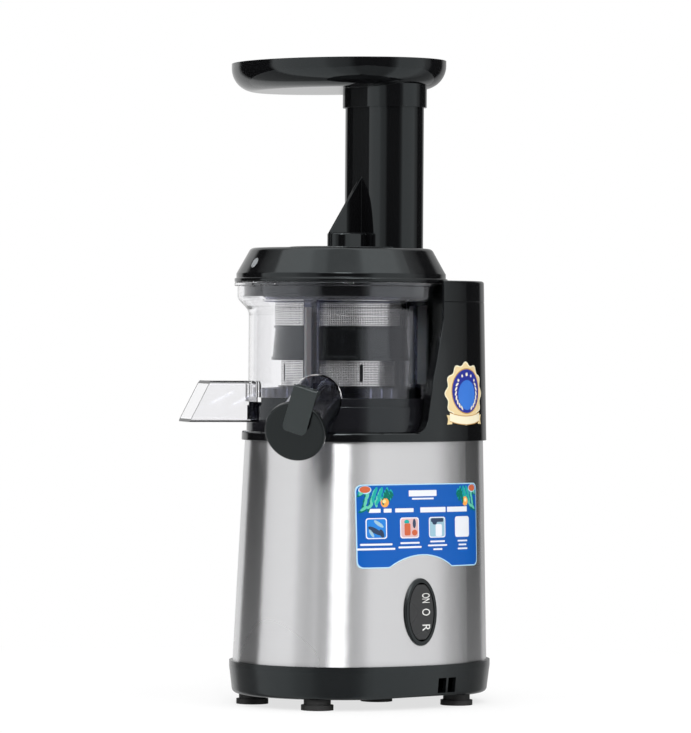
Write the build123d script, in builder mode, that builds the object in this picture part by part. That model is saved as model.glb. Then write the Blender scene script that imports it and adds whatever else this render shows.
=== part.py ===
"""Cold press juicer: motor body, bowl, strainer, auger, lid and feed tray as separate pieces.

Millimetres, +Z up. The pieces are modelled about the bowl's axis with the front of the machine
towards -Y. Headings are angles from the front towards +X, the side that holds the switch. The
finished assembly is moved so that the middle of its footprint, on the floor, is the origin.
"""

from build123d import *
import math
import os

os.makedirs("parts", exist_ok=True)

# ---------------------------------------------------------------- fits and gaps
running = 0.05  # radial running fit of a shaft, pin or bearing
slip = 0.2  # around pieces that are pushed together by hand
seat_gap = 0.3  # between pieces that are lifted off each other

# ---------------------------------------------------------------- motor body, plan view
front_step = 1.0  # the front arc, centred on the bowl's axis, lies this far outside the bowl's base
front_heading = 70.6  # where the front arc runs into the side arc
side_step = 76.6  # the side arcs' radius beyond the front arc's
side_heading = 102.0  # where the side arc runs into the rear corner
rear_step = 1.3  # the rear arc's radius is this much below the front arc's

# ---------------------------------------------------------------- motor body, heights and walls
foot_flange = 3.4
foot_height = 7.4
foot_radius = 10.8
foot_neck = 9.0
front_foot_turn = 35.65  # heading of the front feet from the bowl's axis
front_foot_inset = 6.0  # from the body's front arc
rear_foot_turn = 107.25  # heading of the rear feet from the centre of the rear arc
rear_foot_inset = 9.25
middle_foot = (0.0, 34.0)

skirt_height = 21.9
skirt_band = 3.7  # upright band at the top of the skirt
skirt_grow = 7.6  # how far the skirt stands out beyond the deck outline
skirt_taper = 2.2
skirt_wall = 3.0
skirt_corner = 3.4
lower_forward = 2.7  # the lower outline sits this much further forward

sleeve_height = 148.1
sleeve_grow = 5.3  # the steel flares by this much from top to bottom
sleeve_wall = 0.8

rim_height = 5.9  # deck rim above the steel
rim_grow = 2.3
rim_round = 1.3
deck_plate = 3.0
housing_wall = 3.6
column_height = 87.2  # deck to seam
column_cap_height = 14.4
column_lean = 2.4  # the column draws in by this much up to its top
rim_clearance = 1.5  # between the bowl's rim and the hollow in the column
base_clearance = 3.0  # between the bowl's base and that hollow
recess_steps = (40.0, 69.0)  # above the deck: where the hollow starts and stops widening
key_size = 4.0  # blocks on the deck that centre the bowl's base
key_length = 10.0
arm_front = (15.5, 21.5, 32.0)  # front edge of the column's arms at the deck, above it and at the top
arm_rise = (33.0, 76.0)
arm_flare = 10.0  # fillet between the column's front edge and the deck
cap_round = 1.8
seam_groove = 0.5  # chamfer that shows the joint between the column and its cap

# ---------------------------------------------------------------- bowl
bowl_radius = 61.9
bowl_wall = 2.4
base_step = 1.1  # the bowl's base stands out by this much
base_height = 22.4
base_ledge = 5.7  # the ledge lies this far below the bowl base's top
base_wall = 2.8
floor_plate = 3.0
clear_height = 77.0
ring_step = 7.7  # the bowl's upper ring stands out by this much
rim_step = 2.1  # and the rim by this much more
rim_flange = 2.6
ring_height = 11.0
shoulder_height = 8.0

chute_heading = -26.0
chute_half_width = 18.0
chute_wall = 2.0
chute_drop = 16.5  # chute's bottom below the bowl base's top
chute_rise = 11.0  # chute's top above the bowl base's top
chute_reach = 107.6
chute_undercut = 14.2
chute_round = 3.0
duct_start = 27.0
pulp_slot = (29.5, 36.5)
pulp_slot_width = 24.0

spout_heading = 34.4
spout_slope = 20.0
spout_reach = 109.0
spout_start = 2.96  # the spout's axis leaves the bowl's base this far below its top
spout_radius = 16.5
spout_wall = 1.8
spout_root = 46.0
spout_flange = 18.6
spout_flange_thickness = 2.4
saddle_gap = 0.6
saddle_wall = 2.0

# ---------------------------------------------------------------- juice cap
cap_radius = 20.3
cap_thickness = 3.2
cap_plug = 13.4
gasket_thickness = 1.2
lever_turn = -19.0  # the lever leans this far round the spout
lever_width = 16.0
lever_thickness = 2.4
lever_top = 33.0  # above the spout's axis
lever_tip = 1.5
lever_stand_off = 8.2
lever_lean = 3.4  # the plate is this much nearer to the cap at its top than at its tip
lever_roof = 2.6
hinge_up = 22.5
hinge_back = 6.0
hinge_pin = 1.5
knuckle_radius = 3.0
knuckle_width = 8.0
ear_thickness = 2.6

# ---------------------------------------------------------------- strainer and wiper
arm_clearance = 2.4  # between the strainer's band and the wiper's arms
band_draw = 1.6  # the band draws in by this much up to its top
band_overhang = 6.7  # and stands out this far over the lower screen
screen_wall = 0.7
screen_inset = 0.7  # of the upper screen from the band's top
foot_inset = 3.4
foot_step = 2.1
strainer_foot_height = 7.7
lower_screen_height = 17.0
band_height = 21.0
band_wall = 2.2
band_flange = 2.0
upper_screen_height = 16.0
strainer_rim_height = 4.0
strainer_rim_step = 1.5
strainer_ribs = 4
rib_width = 3.0
screen_slots = 4
slot_turn = 69.8  # heading of the first slot in the lower screen
slot_width = 2.4
slot_margin = 2.5  # above and below each slot

auger_teeth = 20
wiper_pinion_teeth = 9
wiper_teeth = 38
wiper_gear_height = 6.4
wiper_clearance = 5.0  # between the toothed ring and the bowl's wall
wiper_rim = 2.8  # the ring's outside beyond the pitch circle, in modules
wiper_arms = 3
wiper_heading = 26.7
arm_step = 5.5  # the arms stand this far inside the ring's outside
arm_thickness = 2.5
arm_width = 10.0
arm_height = 61.0
arm_ring_height = 3.6
arm_foot = 2.4
blade_thickness = 1.6
blade_depth = 2.0  # reach of the blades inside the arms
blade_clearance = 0.3
pinion_heading = 200.0
pinion_post = 3.0

# ---------------------------------------------------------------- auger
auger_lower_gap = 0.7  # between the flights and the lower screen
auger_upper_gap = 2.0
auger_wall = 5.5  # depth of the flights at the foot
auger_pitch = 36.0
auger_starts = 2
flight_thickness = 5.0
auger_stub = 9.0
auger_pin = 5.0
hexagon = 10.0  # across flats of the drive shaft's end
hexagon_gap = 0.3

# ---------------------------------------------------------------- lid and feed tube
lid_gap = 0.2
lid_inset = 1.2  # from the bowl's rim
lid_lip = 2.6
lid_band = 5.7
lid_cone = 17.3
lid_draw = 9.7
lid_wall = 2.5
plug_clearance = 2.0  # between the lid's plug and the bowl's ring
lid_plug_depth = 9.6
lid_disc_radius = 35.0
lid_disc_height = 1.0
lid_disc_round = 0.6
hub_radius = 9.5
hub_height = 10.7
rib_thickness = 2.0
rib_rise = 50.0
lug_count = 3
lug_angle = 18.0
lug_height = 2.5
lug_reach = 1.9
lug_drop = 6.7  # the lid's lugs lie this far below its rim
lid_turn = 24.0  # from the bowl's lugs to the lid's lugs at rest
tube_length = 59.2
tube_width = 42.0
tube_wall = 2.2
tube_height = 102.8
tube_back = 37.8
bush_radius = 7.0
bush_height = 11.0

# ---------------------------------------------------------------- feed tray
tray_length = 174.0
tray_width = 124.0
tray_left = 48.8
tray_wall = 2.2
tray_depth = 19.1
tray_corner = 16.0
tray_lift = 6.5  # underside above the feed tube's top
collar_depth = 7.0
collar_wall = 1.85

# ---------------------------------------------------------------- drive
motor_back = 40.0
motor_radius = 33.0
fan_room = 33.9  # between the base cover's floor and the motor
motor_wall = 1.6
motor_plate = 3.0
end_cap_height = 4.0
motor_shaft_radius = 4.0
motor_bearing_radius = 8.0
stator_outer = 31.3
stator_inner = 18.4
stator_ends = 38.0  # room for the windings and bearings beyond the stator
rotor_radius = 17.4
winding_height = 9.0
fan_radius = 27.0
fan_blades = 9

gear_module = 1.5
motor_teeth = 9
stage_big_teeth = 33
stage_small_teeth = 10
output_teeth = 40
big_gear_height = 7.0
output_gear_height = 14.0
axle_radius = 3.0
shaft_radius = 6.0
shaft_bearing_radius = 9.0
case_height = 38.0
case_wall = 2.5
case_plate = 3.0
case_lid = 4.0
case_round = 35.0  # case round the output gear, the stage gear and the motor's pinion
stage_round = 29.0
pinion_round = 20.0
mount_boss = 7.0
grommet_height = 3.0
grommet_radius = 5.0
mount_screw = 1.6
mount_points = [(40.0, -6.0), (-36.0, -19.0), (26.0, 44.0), (-32.0, 59.0)]
collar_radius = 15.0
collar_height = 6.7
seal_radius = 10.0
post_radius = 4.5
housing_screw = 1.5
screw_length = 20.0

# ---------------------------------------------------------------- switch and electrics
switch_height = 64.7
switch_heading = 84.6
bezel_width = 25.7
bezel_length = 44.9
bezel_thickness = 4.4
bezel_proud = 1.6
rocker_width = 19.6
rocker_length = 37.6
rocker_depth = 6.0
rocker_gap = 0.7
bezel_lip = 1.2  # laps over the sheet's cut-out by this much
bezel_fit = 0.3
switch_body_depth = 18.0
board_size = (52.0, 34.0, 1.6)
board_front = -32.0
standoff_height = 3.0
standoff_radius = 2.6
gland_height = 45.0
gland_flange = 9.0
gland_neck = 7.0
gland_bore = 3.8
gland_thickness = 2.0
reed_heading = 138.0
magnet_heading = 128.0
magnet_step = 0.7  # from the plug's face to the middle of the magnet

# ---------------------------------------------------------------- radii that follow
base_radius = bowl_radius + base_step
front_radius = base_radius + front_step
side_radius = front_radius + side_step
rear_radius = front_radius - rear_step
bowl_inside = bowl_radius - bowl_wall
ring_radius = bowl_radius + ring_step
ring_inside = ring_radius - bowl_wall
rim_radius = ring_radius + rim_step
recess_radius = rim_radius + rim_clearance
recess_foot = base_radius + base_clearance
wiper_ring_radius = bowl_inside - wiper_clearance
wiper_module = wiper_ring_radius / (wiper_teeth / 2 + wiper_rim)
arm_radius = wiper_ring_radius - arm_step
blade_inner = arm_radius - blade_depth
blade_outer = bowl_inside - blade_clearance
band_low_radius = arm_radius - arm_clearance
band_high_radius = band_low_radius - band_draw
strainer_rim = band_high_radius + strainer_rim_step
upper_screen_radius = band_high_radius - screen_inset
lower_screen_radius = band_low_radius - band_overhang
auger_upper_radius = upper_screen_radius - screen_wall - auger_upper_gap
auger_lower_radius = lower_screen_radius - screen_wall - auger_lower_gap
lid_radius = rim_radius - lid_inset
lid_top_radius = lid_radius - lid_draw
lid_plug = ring_inside - plug_clearance
magnet_reach = lid_plug + magnet_step

# ---------------------------------------------------------------- levels that follow
skirt_top = foot_height + skirt_height
cover_floor = foot_height + skirt_wall
sleeve_top = skirt_top + sleeve_height
deck_top = sleeve_top + rim_height
deck_underside = deck_top - deck_plate
seam_height = deck_top + column_height
column_top = seam_height + column_cap_height
bowl_bottom = deck_top + seat_gap
base_top = bowl_bottom + base_height
bowl_rim = base_top + clear_height
strainer_bottom = base_top + seat_gap
screen_bottom = strainer_bottom + strainer_foot_height
band_bottom = screen_bottom + lower_screen_height
band_top = band_bottom + band_flange + band_height
strainer_top = band_top + upper_screen_height
lid_bottom = bowl_rim + lid_gap
lid_deck = lid_bottom + lid_band + lid_cone
tube_top = lid_deck + tube_height
tray_bottom = tube_top + tray_lift
case_top = deck_underside - mount_boss - grommet_height
case_bottom = case_top - case_lid - case_height
gear_floor = case_bottom + case_plate
motor_bottom = cover_floor + fan_room
motor_length = case_bottom - motor_bottom
stator_height = motor_length - stator_ends
big_gear_low = gear_floor + 1.4
output_gear_low = gear_floor + 14.0
stub_bottom = deck_top + collar_height + seat_gap
spout_height = base_top - spout_start - (spout_reach - base_radius) * math.tan(math.radians(spout_slope))
throat_length = tube_length - 2 * tube_wall
throat_width = tube_width - 2 * tube_wall


def outward(plane):
    """The axis that a plane faces along."""
    return Axis(plane.origin, plane.z_dir)


def across(heading, distance, height=0.0):
    """The point at a heading from the front, seen from the bowl's axis."""
    angle = math.radians(heading)
    return Vector(distance * math.sin(angle), -distance * math.cos(angle), height)


def along(heading, height=0.0):
    """A level plane whose X runs out from the bowl's axis along a heading."""
    return Plane(origin=(0, 0, height), x_dir=across(heading, 1), z_dir=(0, 0, 1))


def upright(heading):
    """A standing plane through the axis: X runs out along a heading and Y is up."""
    return Plane(origin=(0, 0, 0), x_dir=across(heading, 1), z_dir=across(heading - 90, 1))


side_centre = across(front_heading, front_radius - side_radius)
rear_centre = side_centre + across(side_heading, side_radius - rear_radius)
front_foot = tuple(across(front_foot_turn, front_radius - front_foot_inset))[:2]
rear_foot = tuple(rear_centre + across(rear_foot_turn, rear_radius - rear_foot_inset))[:2]


def body_section(height, grow=0.0, forward=0.0):
    """The body's outline at a height: tangent arcs, all moved outwards by grow."""
    side = (side_centre.X, side_centre.Y - forward)
    rear = (rear_centre.X, rear_centre.Y - forward)
    with BuildSketch(Plane.XY.offset(height)) as section:
        with BuildLine():
            CenterArc((0, -forward), front_radius + grow, -90, front_heading)
            CenterArc(side, side_radius + grow, front_heading - 90, side_heading - front_heading)
            CenterArc(rear, rear_radius + grow, side_heading - 90, 180 - side_heading)
            back = rear[1] + rear_radius + grow
            Line((rear[0], back), (0, back))
            mirror(about=Plane.YZ)
        make_face()
    return section.sketch


def sleeve_section(height, inset=0.0):
    """The steel's outline, which flares and creeps forward towards the skirt."""
    share = (sleeve_top - height) / sleeve_height
    return body_section(height, share * sleeve_grow - inset, share * lower_forward)


def skirt_section(height, inset=0.0):
    """The skirt's outline, which draws in towards the feet."""
    band_bottom_height = skirt_top - skirt_band
    share = max(0.0, (band_bottom_height - height) / (band_bottom_height - foot_height))
    return body_section(height, skirt_grow - share * skirt_taper - inset, lower_forward)


def housing_section(height, inset=0.0):
    """The upper housing's outline, which leans in towards the column's top."""
    share = (height - sleeve_top) / (column_top - sleeve_top)
    return body_section(height, rim_grow - share * column_lean - inset)


def closed_section(points, plane=Plane.XZ, rounds=0.0):
    """A flat face through corners, with a radius at every corner or one for each."""
    with BuildSketch(plane) as face:
        with BuildLine():
            FilletPolyline(*points, radius=rounds, close=True)
        make_face()
    return face.sketch


def ring(inner, outer, low, high):
    """The half section of a plain ring, to be turned about the bowl's axis."""
    return closed_section([(inner, low), (outer, low), (outer, high), (inner, high)])


def gear_section(teeth, module, phase, centre=(0, 0), height=0.0):
    """A spur gear's outline: a root disc with straight-sided teeth, one at the phase angle."""
    pitch = teeth * module / 2
    root = pitch - 1.15 * module
    with BuildSketch(Plane(origin=(centre[0], centre[1], height))) as section:
        Circle(root)
        with PolarLocations(0, teeth, start_angle=phase):
            foot = root - 0.3 * module
            tip = pitch + 0.8 * module
            Polygon(
                (foot, -0.86 * module), (tip, -0.34 * module),
                (tip, 0.34 * module), (foot, 0.86 * module), align=None,
            )
    return section.sketch


def column_front(inset=0.0):
    """The space in front of the column's arms, seen from the side, down to the deck."""
    far = 400.0
    corners = [
        (-far, deck_top),
        (arm_front[0] + inset, deck_top),
        (arm_front[1] + inset, deck_top + arm_rise[0]),
        (arm_front[2] + inset, deck_top + arm_rise[1]),
        (arm_front[2] + 0.5 + inset, far),
        (-far, far),
    ]
    return closed_section(corners, Plane.YZ, [0, arm_flare, 40, 20, 0, 0])


def recess_section(inset=0.0):
    """Half section of the hollow for the bowl: narrow beside its base, wide beside its rim."""
    foot = recess_foot + inset
    wide = recess_radius + inset
    top = 2 * column_top
    return closed_section([
        (0, deck_top),
        (foot, deck_top),
        (foot, deck_top + recess_steps[0]),
        (wide, deck_top + recess_steps[1]),
        (wide, top),
        (0, top),
    ], rounds=[0, 0, 30, 20, 0, 0])


def outside_recess(edge):
    """Whether the middle of an edge lies beyond the hollow for the bowl."""
    middle = edge @ 0.5
    return math.hypot(middle.X, middle.Y) > recess_radius + 1


def column_block(low, high, inset=0.0):
    """The column between two heights, or with an inset the space inside its walls."""
    with BuildPart() as block:
        loft([housing_section(low, inset), housing_section(high, inset)])
        revolve(recess_section(inset), axis=Axis.Z, mode=Mode.SUBTRACT)
        extrude(column_front(inset), amount=200, both=True, mode=Mode.SUBTRACT)
        if low < deck_top:
            with BuildSketch(Plane.XY.offset(low)):
                with Locations((0, -100)):
                    Rectangle(400, 2 * (100 + arm_flare))
            extrude(amount=deck_top - low, mode=Mode.SUBTRACT)
    return block.part


spout_mouth = Plane(
    origin=across(spout_heading, spout_reach, spout_height),
    x_dir=across(spout_heading + 90, 1),
    z_dir=across(spout_heading, math.cos(math.radians(spout_slope)), -math.sin(math.radians(spout_slope))),
)
lever_plane = Plane(
    origin=spout_mouth.origin,
    x_dir=spout_mouth.x_dir.rotate(Axis((0, 0, 0), spout_mouth.z_dir), lever_turn),
    z_dir=spout_mouth.z_dir,
)
spout_length = (spout_reach - spout_root) / math.cos(math.radians(spout_slope))


def spout_core(radius, inner_length=0.0, beyond=0.0):
    """A round bar along the spout's axis."""
    with BuildPart() as bar:
        with BuildSketch(spout_mouth.offset(beyond)):
            Circle(radius)
        extrude(amount=-(spout_length - inner_length + beyond))
    return bar.part


# ================================================================ base
with BuildPart() as base_cover:
    loft([skirt_section(foot_height), skirt_section(skirt_top - skirt_band)])
    extrude(body_section(skirt_top - skirt_band, skirt_grow, lower_forward), amount=skirt_band)
    fillet(base_cover.faces().sort_by(Axis.Z)[0].edges(), skirt_corner)
    loft([skirt_section(cover_floor, skirt_wall), skirt_section(skirt_top, skirt_wall)], mode=Mode.SUBTRACT)
    # air notch low on the right side: two windows with a rib between them
    with BuildSketch(Plane.YZ.offset(side_radius + side_centre.X - 10)):
        with Locations((27, foot_height + 8), (36, foot_height + 8)):
            Rectangle(7.2, 10)
    extrude(amount=30, mode=Mode.SUBTRACT)
    # the lower edge is raised a little along both sides
    with BuildSketch(Plane.XY.offset(foot_height)):
        with Locations((-76, 8), (76, 8)):
            Rectangle(28, 88)
    extrude(amount=1.3, mode=Mode.SUBTRACT)
    # air inlet slots under the fan
    with BuildSketch(Plane.XY.offset(foot_height)):
        with Locations((0, motor_back + 26)):
            with GridLocations(7, 0, 6, 1):
                Rectangle(3, 22)
    extrude(amount=skirt_wall, mode=Mode.SUBTRACT)
    with BuildSketch(Plane.XY.offset(cover_floor)):
        with Locations((0, board_front)):
            with GridLocations(board_size[0] - 9, board_size[1] - 9, 2, 2):
                Circle(standoff_radius)
    extrude(amount=standoff_height)
    with BuildSketch(Plane.XY.offset(foot_height)):
        for x, y in (front_foot, rear_foot):
            with Locations((x, y), (-x, y)):
                Circle(housing_screw + slip)
    extrude(amount=skirt_wall, mode=Mode.SUBTRACT)

with BuildPart() as rubber_feet:
    foot_places = [front_foot, (-front_foot[0], front_foot[1]), rear_foot, (-rear_foot[0], rear_foot[1])]
    with BuildSketch():
        with Locations(*foot_places, middle_foot):
            Circle(foot_radius)
    extrude(amount=foot_flange)
    with BuildSketch(Plane.XY.offset(foot_flange)):
        with Locations(*foot_places, middle_foot):
            Circle(foot_neck)
    extrude(amount=foot_height - foot_flange)
    with BuildSketch(Plane.XY.offset(foot_height)):
        with Locations(*foot_places):
            Circle(2.4 * housing_screw)
    extrude(amount=-2.3, mode=Mode.SUBTRACT)

with BuildPart() as housing_screws:
    with BuildSketch(Plane.XY.offset(foot_height - 2)):
        with Locations(*foot_places):
            Circle(2.1 * housing_screw)
    extrude(amount=2)
    with BuildSketch(Plane.XY.offset(foot_height)):
        with Locations(*foot_places):
            Circle(housing_screw)
    extrude(amount=screw_length)

# ================================================================ steel sleeve and switch
switch_share = (sleeve_top - switch_height) / sleeve_height
switch_lean = math.atan(sleeve_grow / sleeve_height)
switch_centre = Vector(side_centre.X, side_centre.Y - switch_share * lower_forward, switch_height)
switch_face = Plane(
    origin=switch_centre + across(switch_heading, side_radius + switch_share * sleeve_grow),
    x_dir=across(switch_heading + 90, 1),
    z_dir=across(switch_heading, math.cos(switch_lean), math.sin(switch_lean)),
)
rear_edge = rear_centre.Y + rear_radius
gland_share = (sleeve_top - gland_height) / sleeve_height
gland_lean = math.atan((sleeve_grow - lower_forward) / sleeve_height)
gland_face = Plane(
    origin=(0, rear_edge + gland_share * (sleeve_grow - lower_forward), gland_height),
    x_dir=(-1, 0, 0),
    z_dir=(0, math.cos(gland_lean), math.sin(gland_lean)),
)

with BuildPart() as steel_sleeve:
    loft([sleeve_section(skirt_top), sleeve_section(sleeve_top)])
    loft([
        sleeve_section(skirt_top, sleeve_wall),
        sleeve_section(sleeve_top, sleeve_wall),
    ], mode=Mode.SUBTRACT)
    with BuildSketch(switch_face):
        Ellipse(bezel_width / 2 - bezel_lip, bezel_length / 2 - bezel_lip)
    extrude(amount=8, both=True, mode=Mode.SUBTRACT)
    with BuildSketch(gland_face):
        Circle(gland_neck + slip)
    extrude(amount=8, both=True, mode=Mode.SUBTRACT)

with BuildPart() as switch_bezel:
    with BuildSketch(switch_face.offset(bezel_proud)):
        Ellipse(bezel_width / 2, bezel_length / 2)
    extrude(amount=-bezel_proud + 0.1)
    fillet(switch_bezel.faces().sort_by(outward(switch_face))[-1].edges(), 1.0)
    with BuildSketch(switch_face.offset(0.1)):
        Ellipse(bezel_width / 2 - bezel_lip - bezel_fit, bezel_length / 2 - bezel_lip - bezel_fit)
    extrude(amount=-bezel_thickness - rocker_depth)
    with BuildSketch(switch_face.offset(bezel_proud)):
        Ellipse(rocker_width / 2 + rocker_gap, rocker_length / 2 + rocker_gap)
    extrude(amount=-40, mode=Mode.SUBTRACT)

rocker_pivot = switch_face.offset(bezel_proud - 5.2)
with BuildPart() as switch_rocker:
    with BuildSketch(rocker_pivot.offset(5.0)):
        Ellipse(rocker_width / 2, rocker_length / 2)
    extrude(amount=-rocker_depth)
    with BuildSketch(Plane(rocker_pivot.origin, x_dir=rocker_pivot.y_dir, z_dir=rocker_pivot.x_dir)):
        Circle(rocker_length / 2)
    extrude(amount=rocker_width, both=True, mode=Mode.INTERSECT)

with BuildPart() as switch_body:
    with BuildSketch(switch_face.offset(0.1 - bezel_thickness - rocker_depth)):
        Ellipse(bezel_width / 2 - bezel_lip - bezel_fit, bezel_length / 2 - bezel_lip - bezel_fit)
    extrude(amount=-switch_body_depth)
    with BuildSketch(switch_face.offset(0.1 - bezel_thickness - rocker_depth - switch_body_depth)):
        with GridLocations(6, 12, 2, 3):
            Rectangle(1.0, 6)
    extrude(amount=-8)

with BuildPart() as cord_gland:
    with BuildSketch(gland_face):
        Circle(gland_flange)
    extrude(amount=gland_thickness)
    with BuildSketch(gland_face):
        Circle(gland_neck)
    extrude(amount=-8)
    with BuildSketch(gland_face.offset(gland_thickness)):
        Circle(gland_bore)
    extrude(amount=-20, mode=Mode.SUBTRACT)

# ================================================================ upper housing
with BuildPart() as spout_saddle:
    # trough under the juice spout, kept above the steel and inside the deck's rim
    extrude(housing_section(sleeve_top, rim_round), amount=rim_height)
    add(spout_core(spout_radius + saddle_gap + saddle_wall), mode=Mode.INTERSECT)

with BuildPart() as upper_housing:
    loft([housing_section(sleeve_top), housing_section(deck_top)])
    fillet(upper_housing.faces().sort_by(Axis.Z)[-1].edges(), rim_round)
    add(column_block(sleeve_top, seam_height))
    loft([
        housing_section(sleeve_top, housing_wall),
        housing_section(deck_underside, housing_wall),
    ], mode=Mode.SUBTRACT)
    add(spout_saddle.part)
    add(column_block(deck_top, seam_height, housing_wall), mode=Mode.SUBTRACT)
    # way through the deck for the reed switch's wires
    with BuildSketch(Plane.XY.offset(deck_underside)):
        with Locations((0, 84)):
            Circle(5)
    extrude(amount=deck_plate, mode=Mode.SUBTRACT)
    add(spout_core(spout_radius + saddle_gap, beyond=20), mode=Mode.SUBTRACT)
    # posts down to the base cover, bosses for the gearbox, collar round the drive shaft
    with BuildSketch(Plane.XY.offset(cover_floor)):
        with Locations(*foot_places):
            Circle(post_radius)
    extrude(amount=deck_underside - cover_floor)
    with BuildSketch(Plane.XY.offset(deck_underside)):
        with Locations(*mount_points):
            Circle(grommet_radius)
    extrude(amount=-mount_boss)
    with BuildSketch(Plane.XY.offset(deck_underside)):
        Circle(collar_radius)
    extrude(amount=deck_plate + collar_height)
    # blocks that centre the bowl's base
    for key_heading in (90, 180, 270):
        with BuildSketch(along(key_heading, deck_top)):
            with Locations((base_radius - base_wall - seat_gap - key_size / 2, 0)):
                Rectangle(key_size, key_length)
        extrude(amount=key_size)
    # shelf for the reed switch inside the column
    with BuildSketch(along(reed_heading, seam_height - 12)):
        with Locations((recess_radius + housing_wall + 3, 0)):
            Rectangle(8, 16)
    extrude(amount=2)
    with BuildSketch(Plane.XY.offset(deck_top + collar_height)):
        Circle(seal_radius)
    extrude(amount=-deck_plate - collar_height, mode=Mode.SUBTRACT)
    with BuildSketch(Plane.XY.offset(cover_floor)):
        with Locations(*foot_places):
            Circle(housing_screw + 0.1)
    extrude(amount=screw_length, mode=Mode.SUBTRACT)
    with BuildSketch(Plane.XY.offset(deck_underside - mount_boss)):
        with Locations(*mount_points):
            Circle(mount_screw + 0.1)
    extrude(amount=mount_boss - 1, mode=Mode.SUBTRACT)

with BuildPart() as column_cap:
    add(column_block(seam_height, column_top))
    rounded = column_cap.faces().sort_by(Axis.Z)[-1].edges()
    fillet(rounded.filter_by(outside_recess), cap_round)
    add(column_block(seam_height, column_top - housing_wall, housing_wall), mode=Mode.SUBTRACT)
    seam = column_cap.faces().sort_by(Axis.Z)[0].outer_wire().edges()
    chamfer(seam.filter_by(outside_recess), seam_groove)

with BuildPart() as reed_switch:
    with BuildSketch(along(reed_heading, seam_height - 10)):
        with Locations((recess_radius + housing_wall + 3, 0)):
            Rectangle(4, 12)
    extrude(amount=16)

# ================================================================ motor and gearbox
motor_axis = (0, motor_back)
stage_reach = (output_teeth + stage_small_teeth) * gear_module / 2
motor_reach = (motor_teeth + stage_big_teeth) * gear_module / 2
stage_y = (stage_reach**2 - motor_reach**2 + motor_back**2) / (2 * motor_back)
stage_x = -math.sqrt(stage_reach**2 - stage_y**2)
stage_axis = (stage_x, stage_y)
stage_angle = math.degrees(math.atan2(stage_y, stage_x))
motor_angle = math.degrees(math.atan2(motor_back - stage_y, -stage_x))


def case_outline(height, inset=0.0, ears=False):
    """Plan of the gearbox: one hull round its three shafts, with ears for the mount screws."""
    with BuildSketch(Plane.XY.offset(height)) as outline:
        Circle(case_round - inset)
        with Locations(stage_axis):
            Circle(stage_round - inset)
        with Locations(motor_axis):
            Circle(pinion_round - inset)
        make_hull()
        if ears:
            with Locations(*mount_points):
                Circle(grommet_radius + 3.5)
    return outline.sketch


with BuildPart() as gearbox_case:
    extrude(case_outline(case_bottom), amount=case_height)
    extrude(case_outline(gear_floor, case_wall), amount=case_height, mode=Mode.SUBTRACT)
    with BuildSketch(Plane.XY.offset(gear_floor)):
        Circle(shaft_bearing_radius + 1.8)
    extrude(amount=7)
    with BuildSketch(Plane.XY.offset(gear_floor)):
        Circle(shaft_bearing_radius + 0.02)
    extrude(amount=7, mode=Mode.SUBTRACT)
    with BuildSketch(Plane.XY.offset(case_bottom)):
        with Locations(motor_axis):
            Circle(motor_bearing_radius + 1)
        with Locations(stage_axis):
            Circle(axle_radius + 0.02)
    extrude(amount=case_plate, mode=Mode.SUBTRACT)

with BuildPart() as gearbox_lid:
    extrude(case_outline(case_top - case_lid, ears=True), amount=case_lid)
    with BuildSketch(Plane.XY.offset(case_top - case_lid)):
        Circle(shaft_bearing_radius + 0.02)
        with Locations(*mount_points):
            Circle(mount_screw + 0.2)
    extrude(amount=case_lid, mode=Mode.SUBTRACT)

with BuildPart() as stage_axle:
    with BuildSketch(Plane.XY.offset(case_bottom)):
        with Locations(stage_axis):
            Circle(axle_radius)
    extrude(amount=case_height)

with BuildPart() as shaft_bearings:
    with BuildSketch(Plane.XY.offset(gear_floor)):
        Circle(shaft_bearing_radius)
        Circle(shaft_radius + running, mode=Mode.SUBTRACT)
    extrude(amount=7)
    with BuildSketch(Plane.XY.offset(case_top - case_lid)):
        Circle(shaft_bearing_radius)
        Circle(shaft_radius + running, mode=Mode.SUBTRACT)
    extrude(amount=case_lid)

with BuildPart() as mount_grommets:
    with BuildSketch(Plane.XY.offset(case_top)):
        with Locations(*mount_points):
            Circle(grommet_radius)
            Circle(mount_screw + 0.2, mode=Mode.SUBTRACT)
    extrude(amount=grommet_height)

with BuildPart() as mount_screws:
    with BuildSketch(Plane.XY.offset(case_top - case_lid)):
        with Locations(*mount_points):
            Circle(2 * mount_screw)
    extrude(amount=-2.2)
    with BuildSketch(Plane.XY.offset(case_top - case_lid)):
        with Locations(*mount_points):
            Circle(mount_screw)
    extrude(amount=case_lid + grommet_height + mount_boss - 2)

with BuildPart() as shaft_seal:
    with BuildSketch(Plane.XY.offset(deck_top)):
        Circle(seal_radius - 0.02)
        Circle(shaft_radius + running, mode=Mode.SUBTRACT)
    extrude(amount=collar_height)

with BuildPart() as drive_shaft:
    with BuildSketch(Plane.XY.offset(gear_floor + 0.2)):
        Circle(shaft_radius)
    extrude(amount=deck_top + collar_height - gear_floor - 0.2)
    with BuildSketch(Plane.XY.offset(deck_top + collar_height)):
        RegularPolygon(hexagon / 2, 6, major_radius=False)
    extrude(amount=12)
    chamfer(drive_shaft.faces().sort_by(Axis.Z)[-1].edges(), 0.8)

with BuildPart() as output_gear:
    extrude(
        gear_section(output_teeth, gear_module, stage_angle, height=output_gear_low),
        amount=output_gear_height,
    )
    with BuildSketch(Plane.XY.offset(output_gear_low)):
        Circle(shaft_radius)
    extrude(amount=output_gear_height, mode=Mode.SUBTRACT)

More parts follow.
